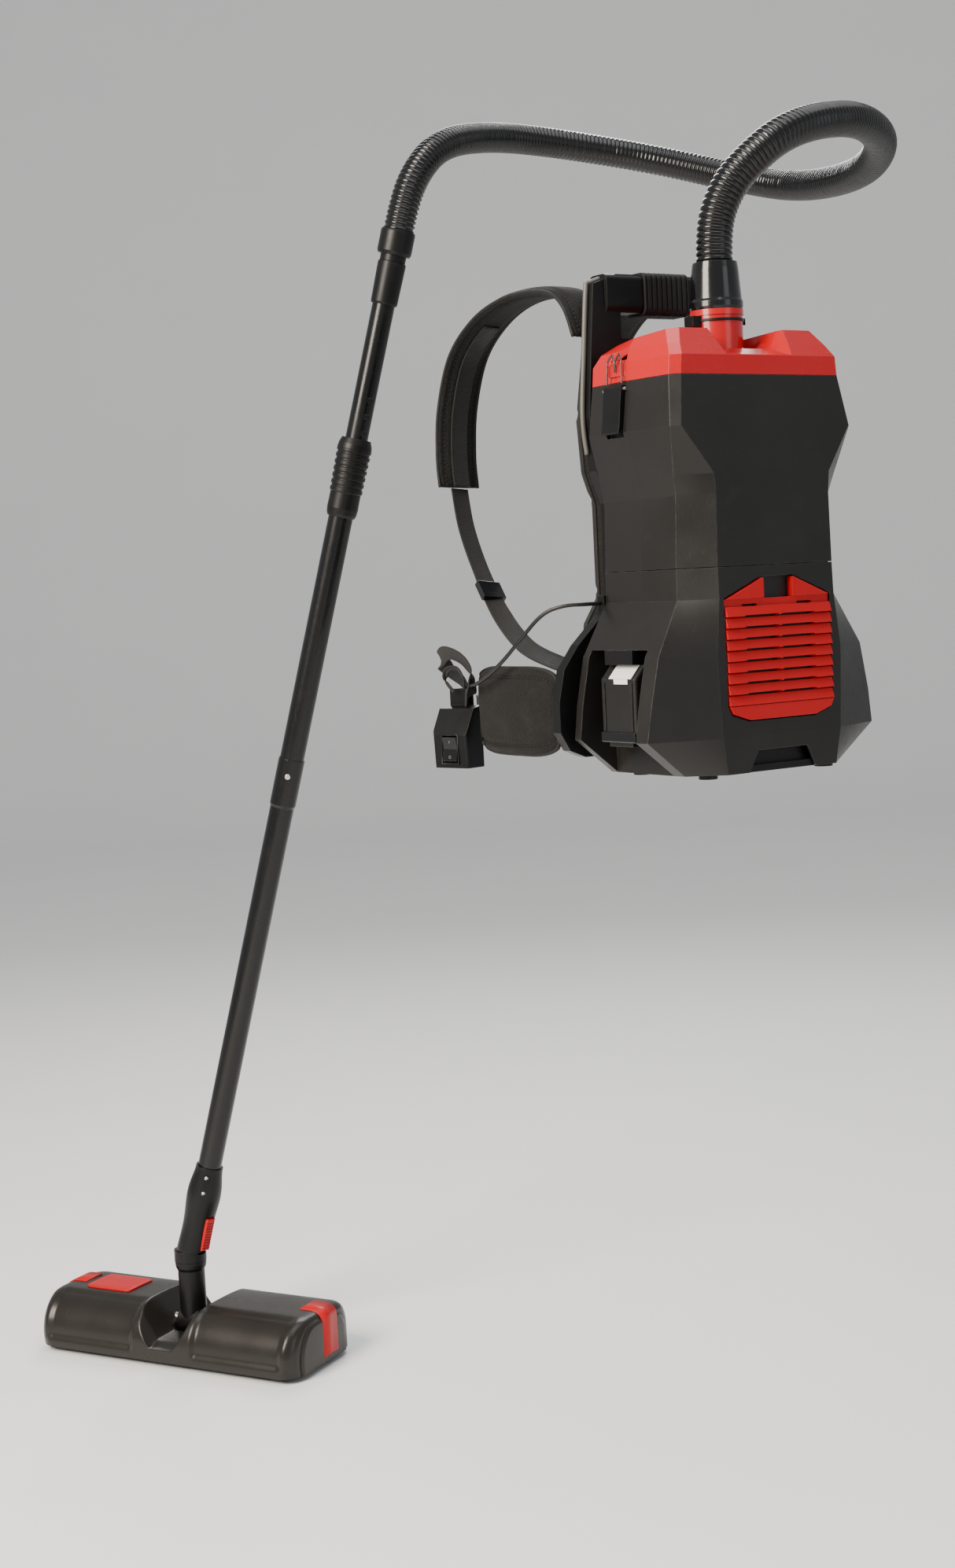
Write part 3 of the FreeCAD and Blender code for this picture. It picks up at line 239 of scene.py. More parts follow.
RED = (0.42, 0.0006, 0.0035)
SLOTS = {
    "charcoal_shell": plastic("charcoal_shell", (0.0088, 0.0081, 0.0072), 0.36, grain=1100,
                              depth=0.00012, wear_and_highlight=0.06, specular=0.32),
    "black_plastic": plastic("black_plastic", (0.0035, 0.0035, 0.0037), 0.36, wear_and_highlight=0.03, specular=0.24),
    "black_gloss": plastic("black_gloss", (0.003, 0.003, 0.0032), 0.16, depth=0.00001, coat=0.35,
                           specular=0.3),
    "head_shell": plastic("head_shell", (0.0125, 0.0102, 0.0078), 0.30, depth=0.00004, wear_and_highlight=0.015,
                          specular=0.36),
    "red_gloss": plastic("red_gloss", RED, 0.24, depth=0.000012, coat=0.4, wear_and_highlight=0.0, specular=0.3),
    "red_plastic": plastic("red_plastic", RED, 0.36, depth=0.00005, wear_and_highlight=0.02, specular=0.28),
    "grey_plastic": plastic("grey_plastic", (0.2, 0.2, 0.2), 0.45),
    "battery_case": plastic("battery_case", (0.008, 0.0076, 0.007), 0.36, specular=0.32),
    "hose_black": plastic("hose_black", (0.0036, 0.0036, 0.0038), 0.22, depth=0.00001, coat=0.18, edge=0.0003,
                          specular=0.3),
    "black_tube": plastic("black_tube", (0.0038, 0.0038, 0.004), 0.24, depth=0.00003, coat=0.12, wear_and_highlight=0.05,
                          specular=0.28),
    "black_rubber": rubber("black_rubber", (0.007, 0.007, 0.007)),
    "black_cable": rubber("black_cable", (0.006, 0.006, 0.006), 0.34),
    "zinc_steel": metal("zinc_steel", (0.62, 0.61, 0.6), 0.3),
    "spring_steel": metal("spring_steel", (0.085, 0.075, 0.07), 0.3, (1, 1, 1)),
    "motor_can": metal("motor_can", (0.35, 0.35, 0.36), 0.4, (1, 1, 1)),
    "circuit_board": plastic("circuit_board", (0.01, 0.09, 0.04), 0.35),
    "filter_paper": paper("filter_paper", (0.09, 0.088, 0.08)),
    "filter_foam": paper("filter_foam", (0.014, 0.014, 0.015)),
    "pad_fabric": mesh_fabric("pad_fabric", (0.0068, 0.0066, 0.0058)),
    "webbing": ribbed_fabric("webbing", (0.0075, 0.0072, 0.0066)),
    "brush_bristle": binding_fabric("brush_bristle", (0.02, 0.02, 0.02)),
    "white_label": paper("white_label", (0.72, 0.72, 0.7)),
    "binding": binding_fabric("binding", (0.007, 0.007, 0.0068)),
    # edge_trim is a painted highlight: the pale colour of the tubes that stand in for the light lines along
    # the harness frame's edges.
    "edge_trim": plastic("edge_trim", (0.085, 0.082, 0.07), 0.42, edge=0.0004),
    "thread": binding_fabric("thread", (0.022, 0.022, 0.022)),
}
for part in frame["record"]["subparts"]:
    node = NODES[part["node"]]
    node.data.materials.clear()
    node.data.materials.append(SLOTS[part["material_slot"]].mat)


# ---------------------------------------------------------------- mesh helpers
def vec(points):
    return [Vector(p) * MM for p in points]


def put(name, verts, faces, slot, body, uvs=None, smooth=True):
    mesh = bpy.data.meshes.new(name)
    mesh.from_pydata([tuple(v) for v in verts], [], faces)
    mesh.update()
    if uvs is not None:
        layer = mesh.uv_layers.new(name="UVMap")
        for loop in mesh.loops:
            layer.data[loop.index].uv = uvs[loop.vertex_index]
    for face in mesh.polygons:
        face.use_smooth = smooth
    mesh.materials.append(SLOTS[slot].mat)
    obj = bpy.data.objects.new(name, mesh)
    bpy.context.collection.objects.link(obj)
    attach(obj, body)
    return obj


def smooth_line(points, steps=10):
    """Catmull-Rom line through points."""
    out = []
    last = len(points) - 1
    for i in range(last):
        p0 = points[max(i - 1, 0)]
        p1 = points[i]
        p2 = points[i + 1]
        p3 = points[min(i + 2, last)]
        for k in range(steps):
            t = k / steps
            out.append(0.5 * ((2 * p1) + (p2 - p0) * t + (2 * p0 - 5 * p1 + 4 * p2 - p3) * t * t
                              + (3 * p1 - p0 - 3 * p2 + p3) * t * t * t))
    out.append(points[-1])
    return out


def frames_along(line, across):
    """(point, side, normal, distance) at each point; across is a vector or one per point."""
    out = []
    distance = 0.0
    for i, p in enumerate(line):
        along = (line[min(i + 1, len(line) - 1)] - line[max(i - 1, 0)]).normalized()
        rough = across[i] if isinstance(across, list) else across
        side = (rough - along * along.dot(rough)).normalized()
        normal = along.cross(side)
        if i:
            distance += (p - line[i - 1]).length
        out.append((p, side, normal, distance))
    return out


def end_share(distance, total, end_round):
    """1 along a strip, easing down to 0.35 at its two rounded ends."""
    near = min(distance, total - distance)
    if not end_round or near >= end_round:
        return 1.0
    return 0.35 + 0.65 * math.sqrt(max(0.0, 1 - (1 - near / end_round) ** 2))


def strap(name, line, across, section, slot, body, end_round=0.0, narrow=0.18):
    """Closed strip: section is a loop of (side, normal) offsets in metres, swept along line.
    end_round shortens the section towards both ends over that distance."""
    rings = frames_along(line, across)
    total = rings[-1][3]
    verts = []
    uvs = []
    size = len(section)
    for p, side, normal, distance in rings:
        k = end_share(distance, total, end_round)
        for s, t in section:
            verts.append(p + side * s * (1 - narrow + narrow * k) + normal * t * k)
            uvs.append((distance, s))
    faces = []
    for i in range(len(rings) - 1):
        for j in range(size):
            a = i * size + j
            b = i * size + (j + 1) % size
            faces.append((a, b, b + size, a + size))
    faces.append(tuple(range(size - 1, -1, -1)))
    faces.append(tuple((len(rings) - 1) * size + j for j in range(size)))
    return put(name, verts, faces, slot, body, uvs)


def crowned(width, thick, seam=0.008, count=11, dip=0.35):
    """Section of a stuffed strip: two crowned faces that pinch in at a seam near each edge."""
    half = width / 2
    top = []
    for i in range(count):
        s = -1 + 2 * i / (count - 1)
        x = s * half
        rise = (1 - abs(s) ** 3.2) ** 0.5
        gap = abs(half - abs(x) - seam)
        pinch = 1 - dip * math.exp(-(gap / 0.0022) ** 2)
        top.append((x, max(thick / 2 * rise * pinch, thick * 0.12)))
    top = finer(top, half, seam)
    return top + [(x, -y) for x, y in reversed(top)]


def finer(top, half, seam):
    """Adds points either side of each seam so that its groove is narrow."""
    extra = []
    for x in (-half + seam, half - seam):
        for dx, f in ((-0.003, 1.0), (0.0, 0.6), (0.003, 1.0)):
            rise = (1 - abs((x + dx) / half) ** 3.2) ** 0.5
            extra.append((x + dx, top[len(top) // 2][1] * rise * f))
    seams = {round(x, 5) for x, _ in extra}
    kept = [(x, y) for x, y in top if all(abs(x - s) > 0.002 for s in seams)]
    return sorted(kept + extra)


def flat_section(width, thick):
    """Section of a webbing: flat with slightly thick rounded selvedges."""
    h = width / 2
    t = thick / 2
    edge = [(-h, 0.0), (-h + 0.0006, t), (-h + 0.002, t * 1.05), (-h + 0.003, t * 0.82)]
    top = edge + [(x, t * 0.82) for x in (-h / 2, 0, h / 2)] + [(-x, y) for x, y in reversed(edge)]
    return top + [(x, -y) for x, y in reversed(top[1:-1])]


def tube(name, line, radius, slot, body, sides=8, closed=False):
    """Round tube along line; radius is a number or a function of the distance along it."""
    count = len(line)
    verts = []
    faces = []
    uvs = []
    along = (line[1] - line[0]).normalized()
    side = along.orthogonal().normalized()
    distance = 0.0
    for i, p in enumerate(line):
        if closed:
            new = (line[(i + 1) % count] - line[i - 1]).normalized()
        else:
            new = (line[min(i + 1, count - 1)] - line[max(i - 1, 0)]).normalized()
        side = (side - new * new.dot(side)).normalized()
        up = new.cross(side)
        if i:
            distance += (p - line[i - 1]).length
        r = radius(distance) if callable(radius) else radius
        for j in range(sides):
            a = 2 * math.pi * j / sides
            verts.append(p + side * (r * math.cos(a)) + up * (r * math.sin(a)))
            uvs.append((distance, j / sides * 0.1))
    for i in range(count if closed else count - 1):
        k = (i + 1) % count
        for j in range(sides):
            m = (j + 1) % sides
            faces.append((i * sides + j, i * sides + m, k * sides + m, k * sides + j))
    if not closed:
        faces.append(tuple(range(sides - 1, -1, -1)))
        faces.append(tuple((count - 1) * sides + j for j in range(sides)))
    return put(name, verts, faces, slot, body, uvs)


def stitches(name, lines, body, pitch=0.0055, length=0.0036, radius=0.00045):
    """Rows of short thread stitches, each a thin six-sided rod along one of lines."""
    verts = []
    faces = []
    for line in lines:
        distance = 0.0
        last = -pitch
        for a, b in zip(line, line[1:]):
            step = (b - a).length
            if step < 1e-7:
                continue
            along = (b - a) / step
            while last + pitch <= distance + step:
                last += pitch
                start = a + along * max(0.0, last - distance)
                side = along.orthogonal().normalized()
                up = along.cross(side)
                base = len(verts)
                for k, r in ((0.0, 0.4), (0.25, 1.0), (0.75, 1.0), (1.0, 0.4)):
                    for j in range(6):
                        w = math.pi * j / 3
                        around = side * math.cos(w) + up * math.sin(w)
                        verts.append(start + along * (length * k) + around * radius * r)
                for low in range(base, base + 18, 6):
                    for j in range(6):
                        m = (j + 1) % 6
                        faces.append((low + j, low + m, low + 6 + m, low + 6 + j))
            distance += step
    return put(name, verts, faces, "thread", body)


def mirrored(points):
    return [Vector((-p.x, p.y, p.z)) for p in points]


def offset_line(line, across, s, t, end_round=0.0, narrow=0.18):
    rings = frames_along(line, across)
    total = rings[-1][3]
    out = []
    for p, side, normal, distance in rings:
        k = end_share(distance, total, end_round)
        out.append(p + side * s * (1 - narrow + narrow * k) + normal * t * k)
    return out


# ---------------------------------------------------------------- hose
HOSE_EXIT = (0, -153, 352.3)
WAND_TOP = Vector((-38, 478, 487))
WAND_DIR = Vector((0.1752, -0.2009, 0.9638)).normalized()
HOSE_ROUTE = vec([HOSE_EXIT, (0, -153, 388), (10, -158, 425), (32, -168, 460), (94, -186, 509),
                  (228, -157, 536), (370, -61, 534), (456, 70, 520), (516, 260, 537), (526, 406, 576),
                  (439, 520, 623), (247, 571, 649), (106, 507, 629), (33, 478, 606), (-8, 468, 570),
                  WAND_TOP + WAND_DIR * 44, WAND_TOP + WAND_DIR * 0.3])
HOSE_PITCH = 0.0068
VALLEY_RADIUS = 19.3
RIDGE_HEIGHT = 2.2


def spline(name, points, resolution):
    """Curve object: one quadratic NURBS through the route, without thickness."""
    curve = bpy.data.curves.new(name, "CURVE")
    curve.dimensions = "3D"
    curve.resolution_u = resolution
    line = curve.splines.new("NURBS")
    line.points.add(len(points) - 1)
    for point, p in zip(line.points, points):
        point.co = (*p, 1)
    line.order_u = 3
    line.use_endpoint_u = True
    obj = bpy.data.objects.new(name, curve)
    bpy.context.collection.objects.link(obj)
    return obj


def spline_points(obj):
    bpy.context.view_layer.update()
    graph = bpy.context.evaluated_depsgraph_get()
    mesh = bpy.data.meshes.new_from_object(obj.evaluated_get(graph))
    points = [v.co.copy() for v in mesh.vertices]
    bpy.data.meshes.remove(mesh)
    return points


def hose_radius(distance):
    """Round ridges between narrow valleys."""
    phase = (distance / HOSE_PITCH) % 1.0
    ridge = math.sin(math.pi * phase) ** 0.7
    return (VALLEY_RADIUS + RIDGE_HEIGHT * ridge) * MM


route = spline("hose_route", HOSE_ROUTE, 120)
hose_line = spline_points(route)
bpy.data.objects.remove(route)
hose = tube("hose_corrugated", hose_line, hose_radius, "hose_black", "lid", sides=30)
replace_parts(hose, "hose")

# ---------------------------------------------------------------- switch lead
LEAD_EXIT = (-119, -62, -36)
LEAD_ROUTE = vec([LEAD_EXIT, (-141, -62, -36), (-161, -46, -36), (-177, -24, -44), (-190, 2, -72),
                  (-197, 34, -100), (-199, 72, -121), (-193, 108, -131), (-185, 131, -131),
                  (-178.4, 147.2, -139.4), (-176.4, 152.6, -159.3)])
lead = spline("switch_cable", LEAD_ROUTE, 14)
lead.data.bevel_depth = 0.0024
lead.data.bevel_resolution = 4
lead.data.use_fill_caps = True
lead.data.materials.append(SLOTS["black_cable"].mat)
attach(lead, "pack")
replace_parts(lead, "switch_lead")

# ---------------------------------------------------------------- shoulder straps
STRAP_ROUTE = vec([(-92, -33, 280), (-92, -17, 314), (-93, 8, 335), (-95, 52, 343), (-99, 110, 340),
                   (-104, 165, 321), (-110, 210, 282), (-117, 230, 220), (-124, 228, 160), (-126, 222, 118)])
WEB_ROUTE = vec([(-126, 221, 116), (-132, 200, 66), (-140, 160, 12), (-150, 104, -44), (-156, 44, -84),
                 (-150, -10, -104), (-140, -38, -112)])
WEB_ACROSS = [Vector((1, 0, 0))] * 3 + [Vector((0.8, 0.2, 0.5))] * 4


def spread(values, steps):
    """One direction for each point of a smoothed line."""
    out = []
    for a, b in zip(values, values[1:]):
        out += [a.lerp(b, k / steps) for k in range(steps)]
    return out + [values[-1]]


def shoulder_strap(side, turn):
    across = Vector((1, 0, 0))
    line = turn(smooth_line(STRAP_ROUTE, 12))
    pad = strap("shoulder_pad_" + side, line, across, crowned(0.058, 0.0135), "pad_fabric", "pack", 0.03)
    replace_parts(pad, "shoulder_strap_" + side)
    for k, s in enumerate((-0.0285, 0.0285)):
        tube(f"shoulder_binding_{side}_{k}", offset_line(line, across, s, 0), 0.0022, "binding", "pack")
    rows = [offset_line(line[2:-2], across, s, t) for s in (-0.0205, 0.0205) for t in (-0.0042, 0.0042)]
    stitches("shoulder_stitching_" + side, rows, "pack")
    web_line = turn(smooth_line(WEB_ROUTE, 12))
    web_across = turn(spread(WEB_ACROSS, 12))
    web = strap("strap_web_" + side, web_line, web_across, flat_section(0.025, 0.0024), "webbing", "pack")
    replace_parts(web, "strap_webbing_" + side)
    rider = offset_line(line[60:], across, 0, 0.0078 if side == "left" else -0.0078)
    strap("strap_rider_" + side, rider, across, flat_section(0.025, 0.002), "webbing", "pack")


shoulder_strap("left", lambda points: points)
shoulder_strap("right", mirrored)

# ---------------------------------------------------------------- belt
HIP_PAD_Z = -162.0
BELT_Z = -166.0
HIP_LINE = vec([(-171, -38, HIP_PAD_Z), (-177, 40, HIP_PAD_Z), (-172, 112, HIP_PAD_Z),
                (-167, 127, HIP_PAD_Z - 2)])
BELT_LINE = vec([(-160.5, 138, BELT_Z), (-154, 156, BELT_Z), (-144, 176, BELT_Z), (-124, 200, BELT_Z),
                 (-78, 228, BELT_Z), (-32, 238, BELT_Z)])


def belt_side(side, turn):
    up = Vector((0, 0, 1))
    line = turn(smooth_line(HIP_LINE, 14))
    shape = (0.05, 0.42)
    section = crowned(0.106, 0.018, seam=0.012, count=17)
    pad = strap("hip_wing_" + side, line, up, section, "pad_fabric", "pack", *shape)
    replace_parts(pad, "hip_pad_" + side)
    rim = offset_line(line, up, 0.052, 0, *shape) + offset_line(line, up, -0.052, 0, *shape)[::-1]
    tube("hip_piping_" + side, rim, 0.0028, "binding", "pack", closed=True)
    rows = [offset_line(line, up, s, t, *shape)[3:-3] for s in (-0.041, 0.041) for t in (-0.0056, 0.0056)]
    stitches("hip_stitching_" + side, rows, "pack")
    web_line = turn(smooth_line(BELT_LINE, 12))
    web = strap("belt_web_" + side, web_line, up, flat_section(0.038, 0.003), "webbing", "pack")
    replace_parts(web, "belt_webbing_" + side)


belt_side("left", lambda points: points)
belt_side("right", mirrored)

# ---------------------------------------------------------------- back pad
PAD_EDGE = [(272, 60), (262, 96), (183, 108), (120, 104), (82, 90), (-30, 90), (-60, 110), (-120, 120),
            (-190, 120), (-214, 100)]
PAD_TOP = 271.5
PAD_FOOT = -213.5
PAD_BACK = -40.4
PAD_FACE = 1.5
PAD_SIDE = 20      # height of the pad's plain side wall
PAD_CROWN = 26     # width of the rounding from the side wall to the face
SEAM_DEPTH = 7
PANEL_HALF = 34    # the two upright seams stand this far off the middle
SEAMS = (190, 90, -20, -110)


def pad_half_width(z):
    for (z1, w1), (z0, w0) in zip(PAD_EDGE, PAD_EDGE[1:]):
        if z0 <= z <= z1:
            return w0 + (w1 - w0) * (z - z0) / (z1 - z0)
    return PAD_EDGE[-1][1]


def back_pad():
    """Foam pad with five quilted panels, crowned towards the wearer and pinched at each seam."""
    rows = 98
    cols = 40
    verts = []
    uvs = []
    for i in range(rows + 1):
        z = PAD_TOP - (PAD_TOP - PAD_FOOT) * i / rows
        half = pad_half_width(z)
        end = min(abs(PAD_TOP - z), abs(z - PAD_FOOT))
        for j in range(cols + 1):
            s = -1 + 2 * j / cols
            edge = min(half * (1 - abs(s)), end)
            rise = math.sqrt(max(0.0, 1 - (1 - min(edge / PAD_CROWN, 1)) ** 2))
            groove = sum(math.exp(-((z - q) / 3.2) ** 2) for q in SEAMS)
            if SEAMS[-1] < z < SEAMS[0]:
                groove += math.exp(-((abs(s) * half - PANEL_HALF) / 3.0) ** 2) * 0.9
            y = PAD_BACK + PAD_SIDE + (PAD_FACE - PAD_BACK - PAD_SIDE) * rise
            y -= SEAM_DEPTH * min(groove, 1) * rise
            verts.append(Vector((s * half, y, z)) * MM)
            uvs.append((z * MM, s * half * MM))
    count = len(verts)
    for v in verts[:count]:
        verts.append(Vector((v.x, PAD_BACK * MM, v.z)))
    uvs = uvs + uvs
    width = cols + 1
    faces = []
    for i in range(rows):
        for j in range(cols):
            a = i * width + j
            faces.append((a, a + 1, a + width + 1, a + width))
            faces.append((count + a, count + a + width, count + a + width + 1, count + a + 1))
    rim = list(range(width)) + [i * width + cols for i in range(1, rows + 1)]
    rim += [rows * width + j for j in range(cols - 1, -1, -1)] + [i * width for i in range(rows - 1, 0, -1)]
    for a, b in zip(rim, rim[1:] + rim[:1]):
        faces.append((b, a, a + count, b + count))
    pad = put("back_cushion", verts, faces, "pad_fabric", "pack", uvs)
    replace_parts(pad, "back_pad")
    edge = [Vector((w, PAD_BACK + 19, z)) * MM for z, w in PAD_EDGE]
    loop = edge + mirrored(edge)[::-1]
    tube("back_piping", loop, 0.0026, "binding", "pack", closed=True)


back_pad()


# ---------------------------------------------------------------- cleaning head
# Millimetres: x along the head, y towards its front, z above the floor.
HEAD_ORIGIN = Vector((-0.307287, 0.786789, FLOOR_Z))
HEAD_TURN = math.radians(119)
HEAD_X = Vector((math.cos(HEAD_TURN), math.sin(HEAD_TURN), 0))
HEAD_Y = Vector((-math.sin(HEAD_TURN), math.cos(HEAD_TURN), 0))
HEAD_HALF = 228.0
HEAD_CORNER = 26.0
HEAD_MID_Y = 4.5
HEAD_HALF_DEPTH = 86.5
TROUGH_Z = 34.5
TROUGH_HALF = 19
TROUGH_FLARE = 28
PIVOT_Z = 47.0
POCKET_RADIUS = 25.5
LATCH_Y = -13.0
LOBE_X = (49, 60, 200, 213)    # each front lobe eases in and out between these
SKIRT_Z = 9.0
HOOD_WALL = 0.0022
PEDAL_SPOT = (138, -4)
PEDAL_HALF = (41, 32)
PEDAL_SQUARENESS = 11
HOOD = [(88.5, SKIRT_Z), (90, 16), (91, 26), (89.5, 40), (85, 53), (77, 65), (66, 75), (53, 82), (38, 84.8),
        (15, 85.2), (-18, 84.6), (-45, 82.5), (-62, 79), (-73, 72), (-79.5, 61), (-82, 46), (-82, SKIRT_Z)]


def on_head(x, y, z):
    return HEAD_ORIGIN + (HEAD_X * x + HEAD_Y * y + Vector((0, 0, z))) * MM


def ease(value, low, high):
    t = min(1.0, max(0.0, (value - low) / (high - low)))
    return t * t * (3 - 2 * t)


def soft_min(a, b, width):
    """The smaller of a and b, rounded where they meet."""
    h = max(0.0, min(1.0, 0.5 + 0.5 * (b - a) / width))
    return b + (a - b) * h - width * h * (1 - h)


def hood_section():
    """Fine hood profile with its outward direction at each point."""
    line = smooth_line([Vector((0, y, z)) for y, z in HOOD], 8)
    out = []
    for i, p in enumerate(line):
        along = (line[min(i + 1, len(line) - 1)] - line[max(i - 1, 0)]).normalized()
        out.append((p.y, p.z, along.z, -along.y))
    return out


SECTION = hood_section()


def hood_point(x, y, z, ny, nz):
    """A point of the hood: rounded ends, two lobes in front, a trough across and a pocket for the pivot."""
    over = max(0.0, abs(x) - (HEAD_HALF - HEAD_CORNER)) / HEAD_CORNER
    round_off = HEAD_CORNER * (1 - math.sqrt(max(0.0, 1 - min(over, 1.0) ** 2)))
    scale = (HEAD_HALF_DEPTH - round_off) / HEAD_HALF_DEPTH
    z = SKIRT_Z + (z - SKIRT_Z) * (1 - 0.14 * (round_off / HEAD_CORNER) ** 1.5)
    lobe = ease(abs(x), *LOBE_X[:2]) * (1 - ease(abs(x), *LOBE_X[2:])) * ease(y, 34, 50) * ease(z, 16, 30)
    y += ny * lobe * 5.0
    z += nz * lobe * 3.0
    wall = max(0.0, abs(x) - TROUGH_HALF) / TROUGH_FLARE
    floor = TROUGH_Z - 6 * ease(y, 64, 88)
    pocket = PIVOT_Z - math.sqrt(max(0.0, POCKET_RADIUS ** 2 - y ** 2))
    floor += min(0.0, pocket - floor) * (1 - ease(abs(x), 22.5, 25.5))
    z = soft_min(z, floor + 44 * wall ** 1.3, 5.0)
    return HEAD_MID_Y + (y - HEAD_MID_Y) * scale, z


def hood_stations():
    """Places along the hood, close together where it rounds off and across the trough."""
    straight = HEAD_HALF - HEAD_CORNER
    end = [straight + HEAD_CORNER * math.sin(math.pi / 2 * k / 14) for k in range(1, 15)]
    out = []
    x = -straight
    while x < straight:
        out.append(x)
        x += 1.4 if abs(x) < 66 or abs(x) > 190 else 4.0
    return [-e for e in reversed(end)] + out + [straight] + end


def head_cover():
    verts = []
    faces = []
    stations = hood_stations()
    count = len(SECTION)
    for x in stations:
        for y, z, ny, nz in SECTION:
            verts.append(on_head(x, *hood_point(x, y, z, -ny, -nz)))
    for i in range(len(stations) - 1):
        for j in range(count - 1):
            a = i * count + j
            faces.append((a, a + 1, a + count + 1, a + count))
    for x, start, flip in ((-HEAD_HALF, 0, False), (HEAD_HALF, (len(stations) - 1) * count, True)):
        ring = list(range(start, start + count))
        for inset, out in ((0.97, 1.2), (0.9, 1.6)):
            base = len(verts)
            for j in range(count):
                y, z = hood_point(x, *SECTION[j][:2], -SECTION[j][2], -SECTION[j][3])
                y = HEAD_MID_Y + (y - HEAD_MID_Y) * inset
                verts.append(on_head(x + math.copysign(out, x), y, SKIRT_Z + (z - SKIRT_Z) * inset))
            inner = list(range(base, base + count))
            for j in range(count - 1):
                quad = (ring[j], inner[j], inner[j + 1], ring[j + 1])
                faces.append(quad if flip else quad[::-1])
            ring = inner
        faces.append(tuple(ring if not flip else ring[::-1]))
    cover = put("head_hood", verts, faces, "head_shell", "head")
    thick = cover.modifiers.new("wall", "SOLIDIFY")
    thick.thickness = HOOD_WALL
    thick.offset = -1
    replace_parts(cover, "head_cover")


def deck_height(x, y):
    best = min(SECTION, key=lambda q: abs(q[0] - y) if q[1] > 50 else 1e9)
    return hood_point(x, best[0], best[1], 0, 0)[1]


def head_button():
    """Rounded square pedal that lies on the slope of the hood."""
    verts = []
    faces = []
    size = 16
    rings = ((1.0, -2.0), (1.0, 1.8), (0.985, 2.7), (0.95, 3.2), (0.7, 3.35), (0.4, 3.4), (0.1, 3.4))
    corners = 4 * size
    for k, (shrink, lift) in enumerate(rings):
        for j in range(corners):
            a = 2 * math.pi * j / corners
            c, d = math.cos(a), math.sin(a)
            m = (abs(c) ** PEDAL_SQUARENESS + abs(d) ** PEDAL_SQUARENESS) ** (-1 / PEDAL_SQUARENESS)
            x = PEDAL_SPOT[0] + PEDAL_HALF[0] * c * m * shrink
            y = PEDAL_SPOT[1] + PEDAL_HALF[1] * d * m * shrink
            verts.append(on_head(x, y, deck_height(x, y) + lift))
    for k in range(len(rings) - 1):
        for j in range(corners):
            m = (j + 1) % corners
            a = k * corners
            faces.append((a + j, a + m, a + corners + m, a + corners + j))
    faces.append(tuple((len(rings) - 1) * corners + j for j in range(corners)))
    faces.append(tuple(range(corners - 1, -1, -1)))
    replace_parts(put("head_pedal", verts, faces, "red_plastic", "head_button"), "head_button")


def end_latch(name, node, sign):
    """Red latch that wraps from the deck over the end and down the end face."""
    line = [on_head(sign * x, LATCH_Y, deck_height(sign * x, LATCH_Y) + 0.8) for x in range(194, 223, 4)]
    top = deck_height(sign * 224, LATCH_Y)
    line += [on_head(sign * 227, LATCH_Y, top - 1.5), on_head(sign * 230, LATCH_Y, top - 6)]
    line += [on_head(sign * 230.8, LATCH_Y, z) for z in (top - 13, 56, 44, 30, 17)]
    section = [(-0.020, -0.001), (-0.020, 0.001), (-0.0188, 0.0019),
               (0.0188, 0.0019), (0.020, 0.001), (0.020, -0.001)]
    if sign > 0:
        section = [(s, -t) for s, t in section]
    latch = strap(name, smooth_line(line, 4), HEAD_Y, section, "red_plastic", node)
    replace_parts(latch, node)


head_cover()
head_button()
end_latch("head_latch_left", "end_latch_left", 1)
end_latch("head_latch_right", "end_latch_right", -1)


# ---------------------------------------------------------------- small pieces
def slab(name, corners, thickness, slot, body, bevel=0.0006):
    """Flat plate on four corners (metres), thickened along its normal, with rounded edges."""
    a, b, c, d = corners
    normal = (b - a).cross(d - a).normalized() * thickness
    verts = list(corners) + [p + normal for p in corners]
    faces = [(3, 2, 1, 0), (4, 5, 6, 7), (0, 1, 5, 4), (1, 2, 6, 5), (2, 3, 7, 6), (3, 0, 4, 7)]
    obj = put(name, verts, faces, slot, body, smooth=False)
    if bevel:
        mod = obj.modifiers.new("edges", "BEVEL")
        mod.width = bevel
        mod.segments = 3
    return obj


def battery_label():
    """Plain pale label over the battery's sloped top, folded a little down its outer face."""
    slope = vec([(-158.2, -166, -122.6), (-158.2, -124, -122.6),
                 (-144.6, -124, -107.2), (-144.6, -166, -107.2)])
    slab("battery_label_top", slope, -0.0004, "white_label", "battery", 0.0001)
    face = vec([(-158.3, -160, -128.5), (-158.3, -134, -128.5),
                (-158.3, -134, -122.8), (-158.3, -160, -122.8)])
    slab("battery_label_fold", face, -0.0004, "white_label", "battery", 0.0001)
    band = vec([(-158.1, -172, -195.5), (-158.1, -108, -195.5), (-158.1, -108, -184), (-158.1, -172, -184)])
    slab("battery_latch_band", band, -0.0022, "black_gloss", "battery", 0.001)
    for k, y in enumerate((-166, -114)):
        rail = vec([(-158.1, y - 2, -183), (-158.1, y + 2, -183),
                    (-158.1, y + 2, -127), (-158.1, y - 2, -127)])
        slab(f"battery_rail_{k}", rail, -0.0012, "battery_case", "battery")


battery_label()

SWITCH_SPOT = Vector((-156, 170, -183))
SWITCH_X = Vector((-0.97, -0.243, 0)).normalized()
SWITCH_Y = Vector((-SWITCH_X.y, SWITCH_X.x, 0))


def on_switch(x, y, z):
    return (SWITCH_SPOT + SWITCH_X * x + SWITCH_Y * y + Vector((0, 0, z))) * MM


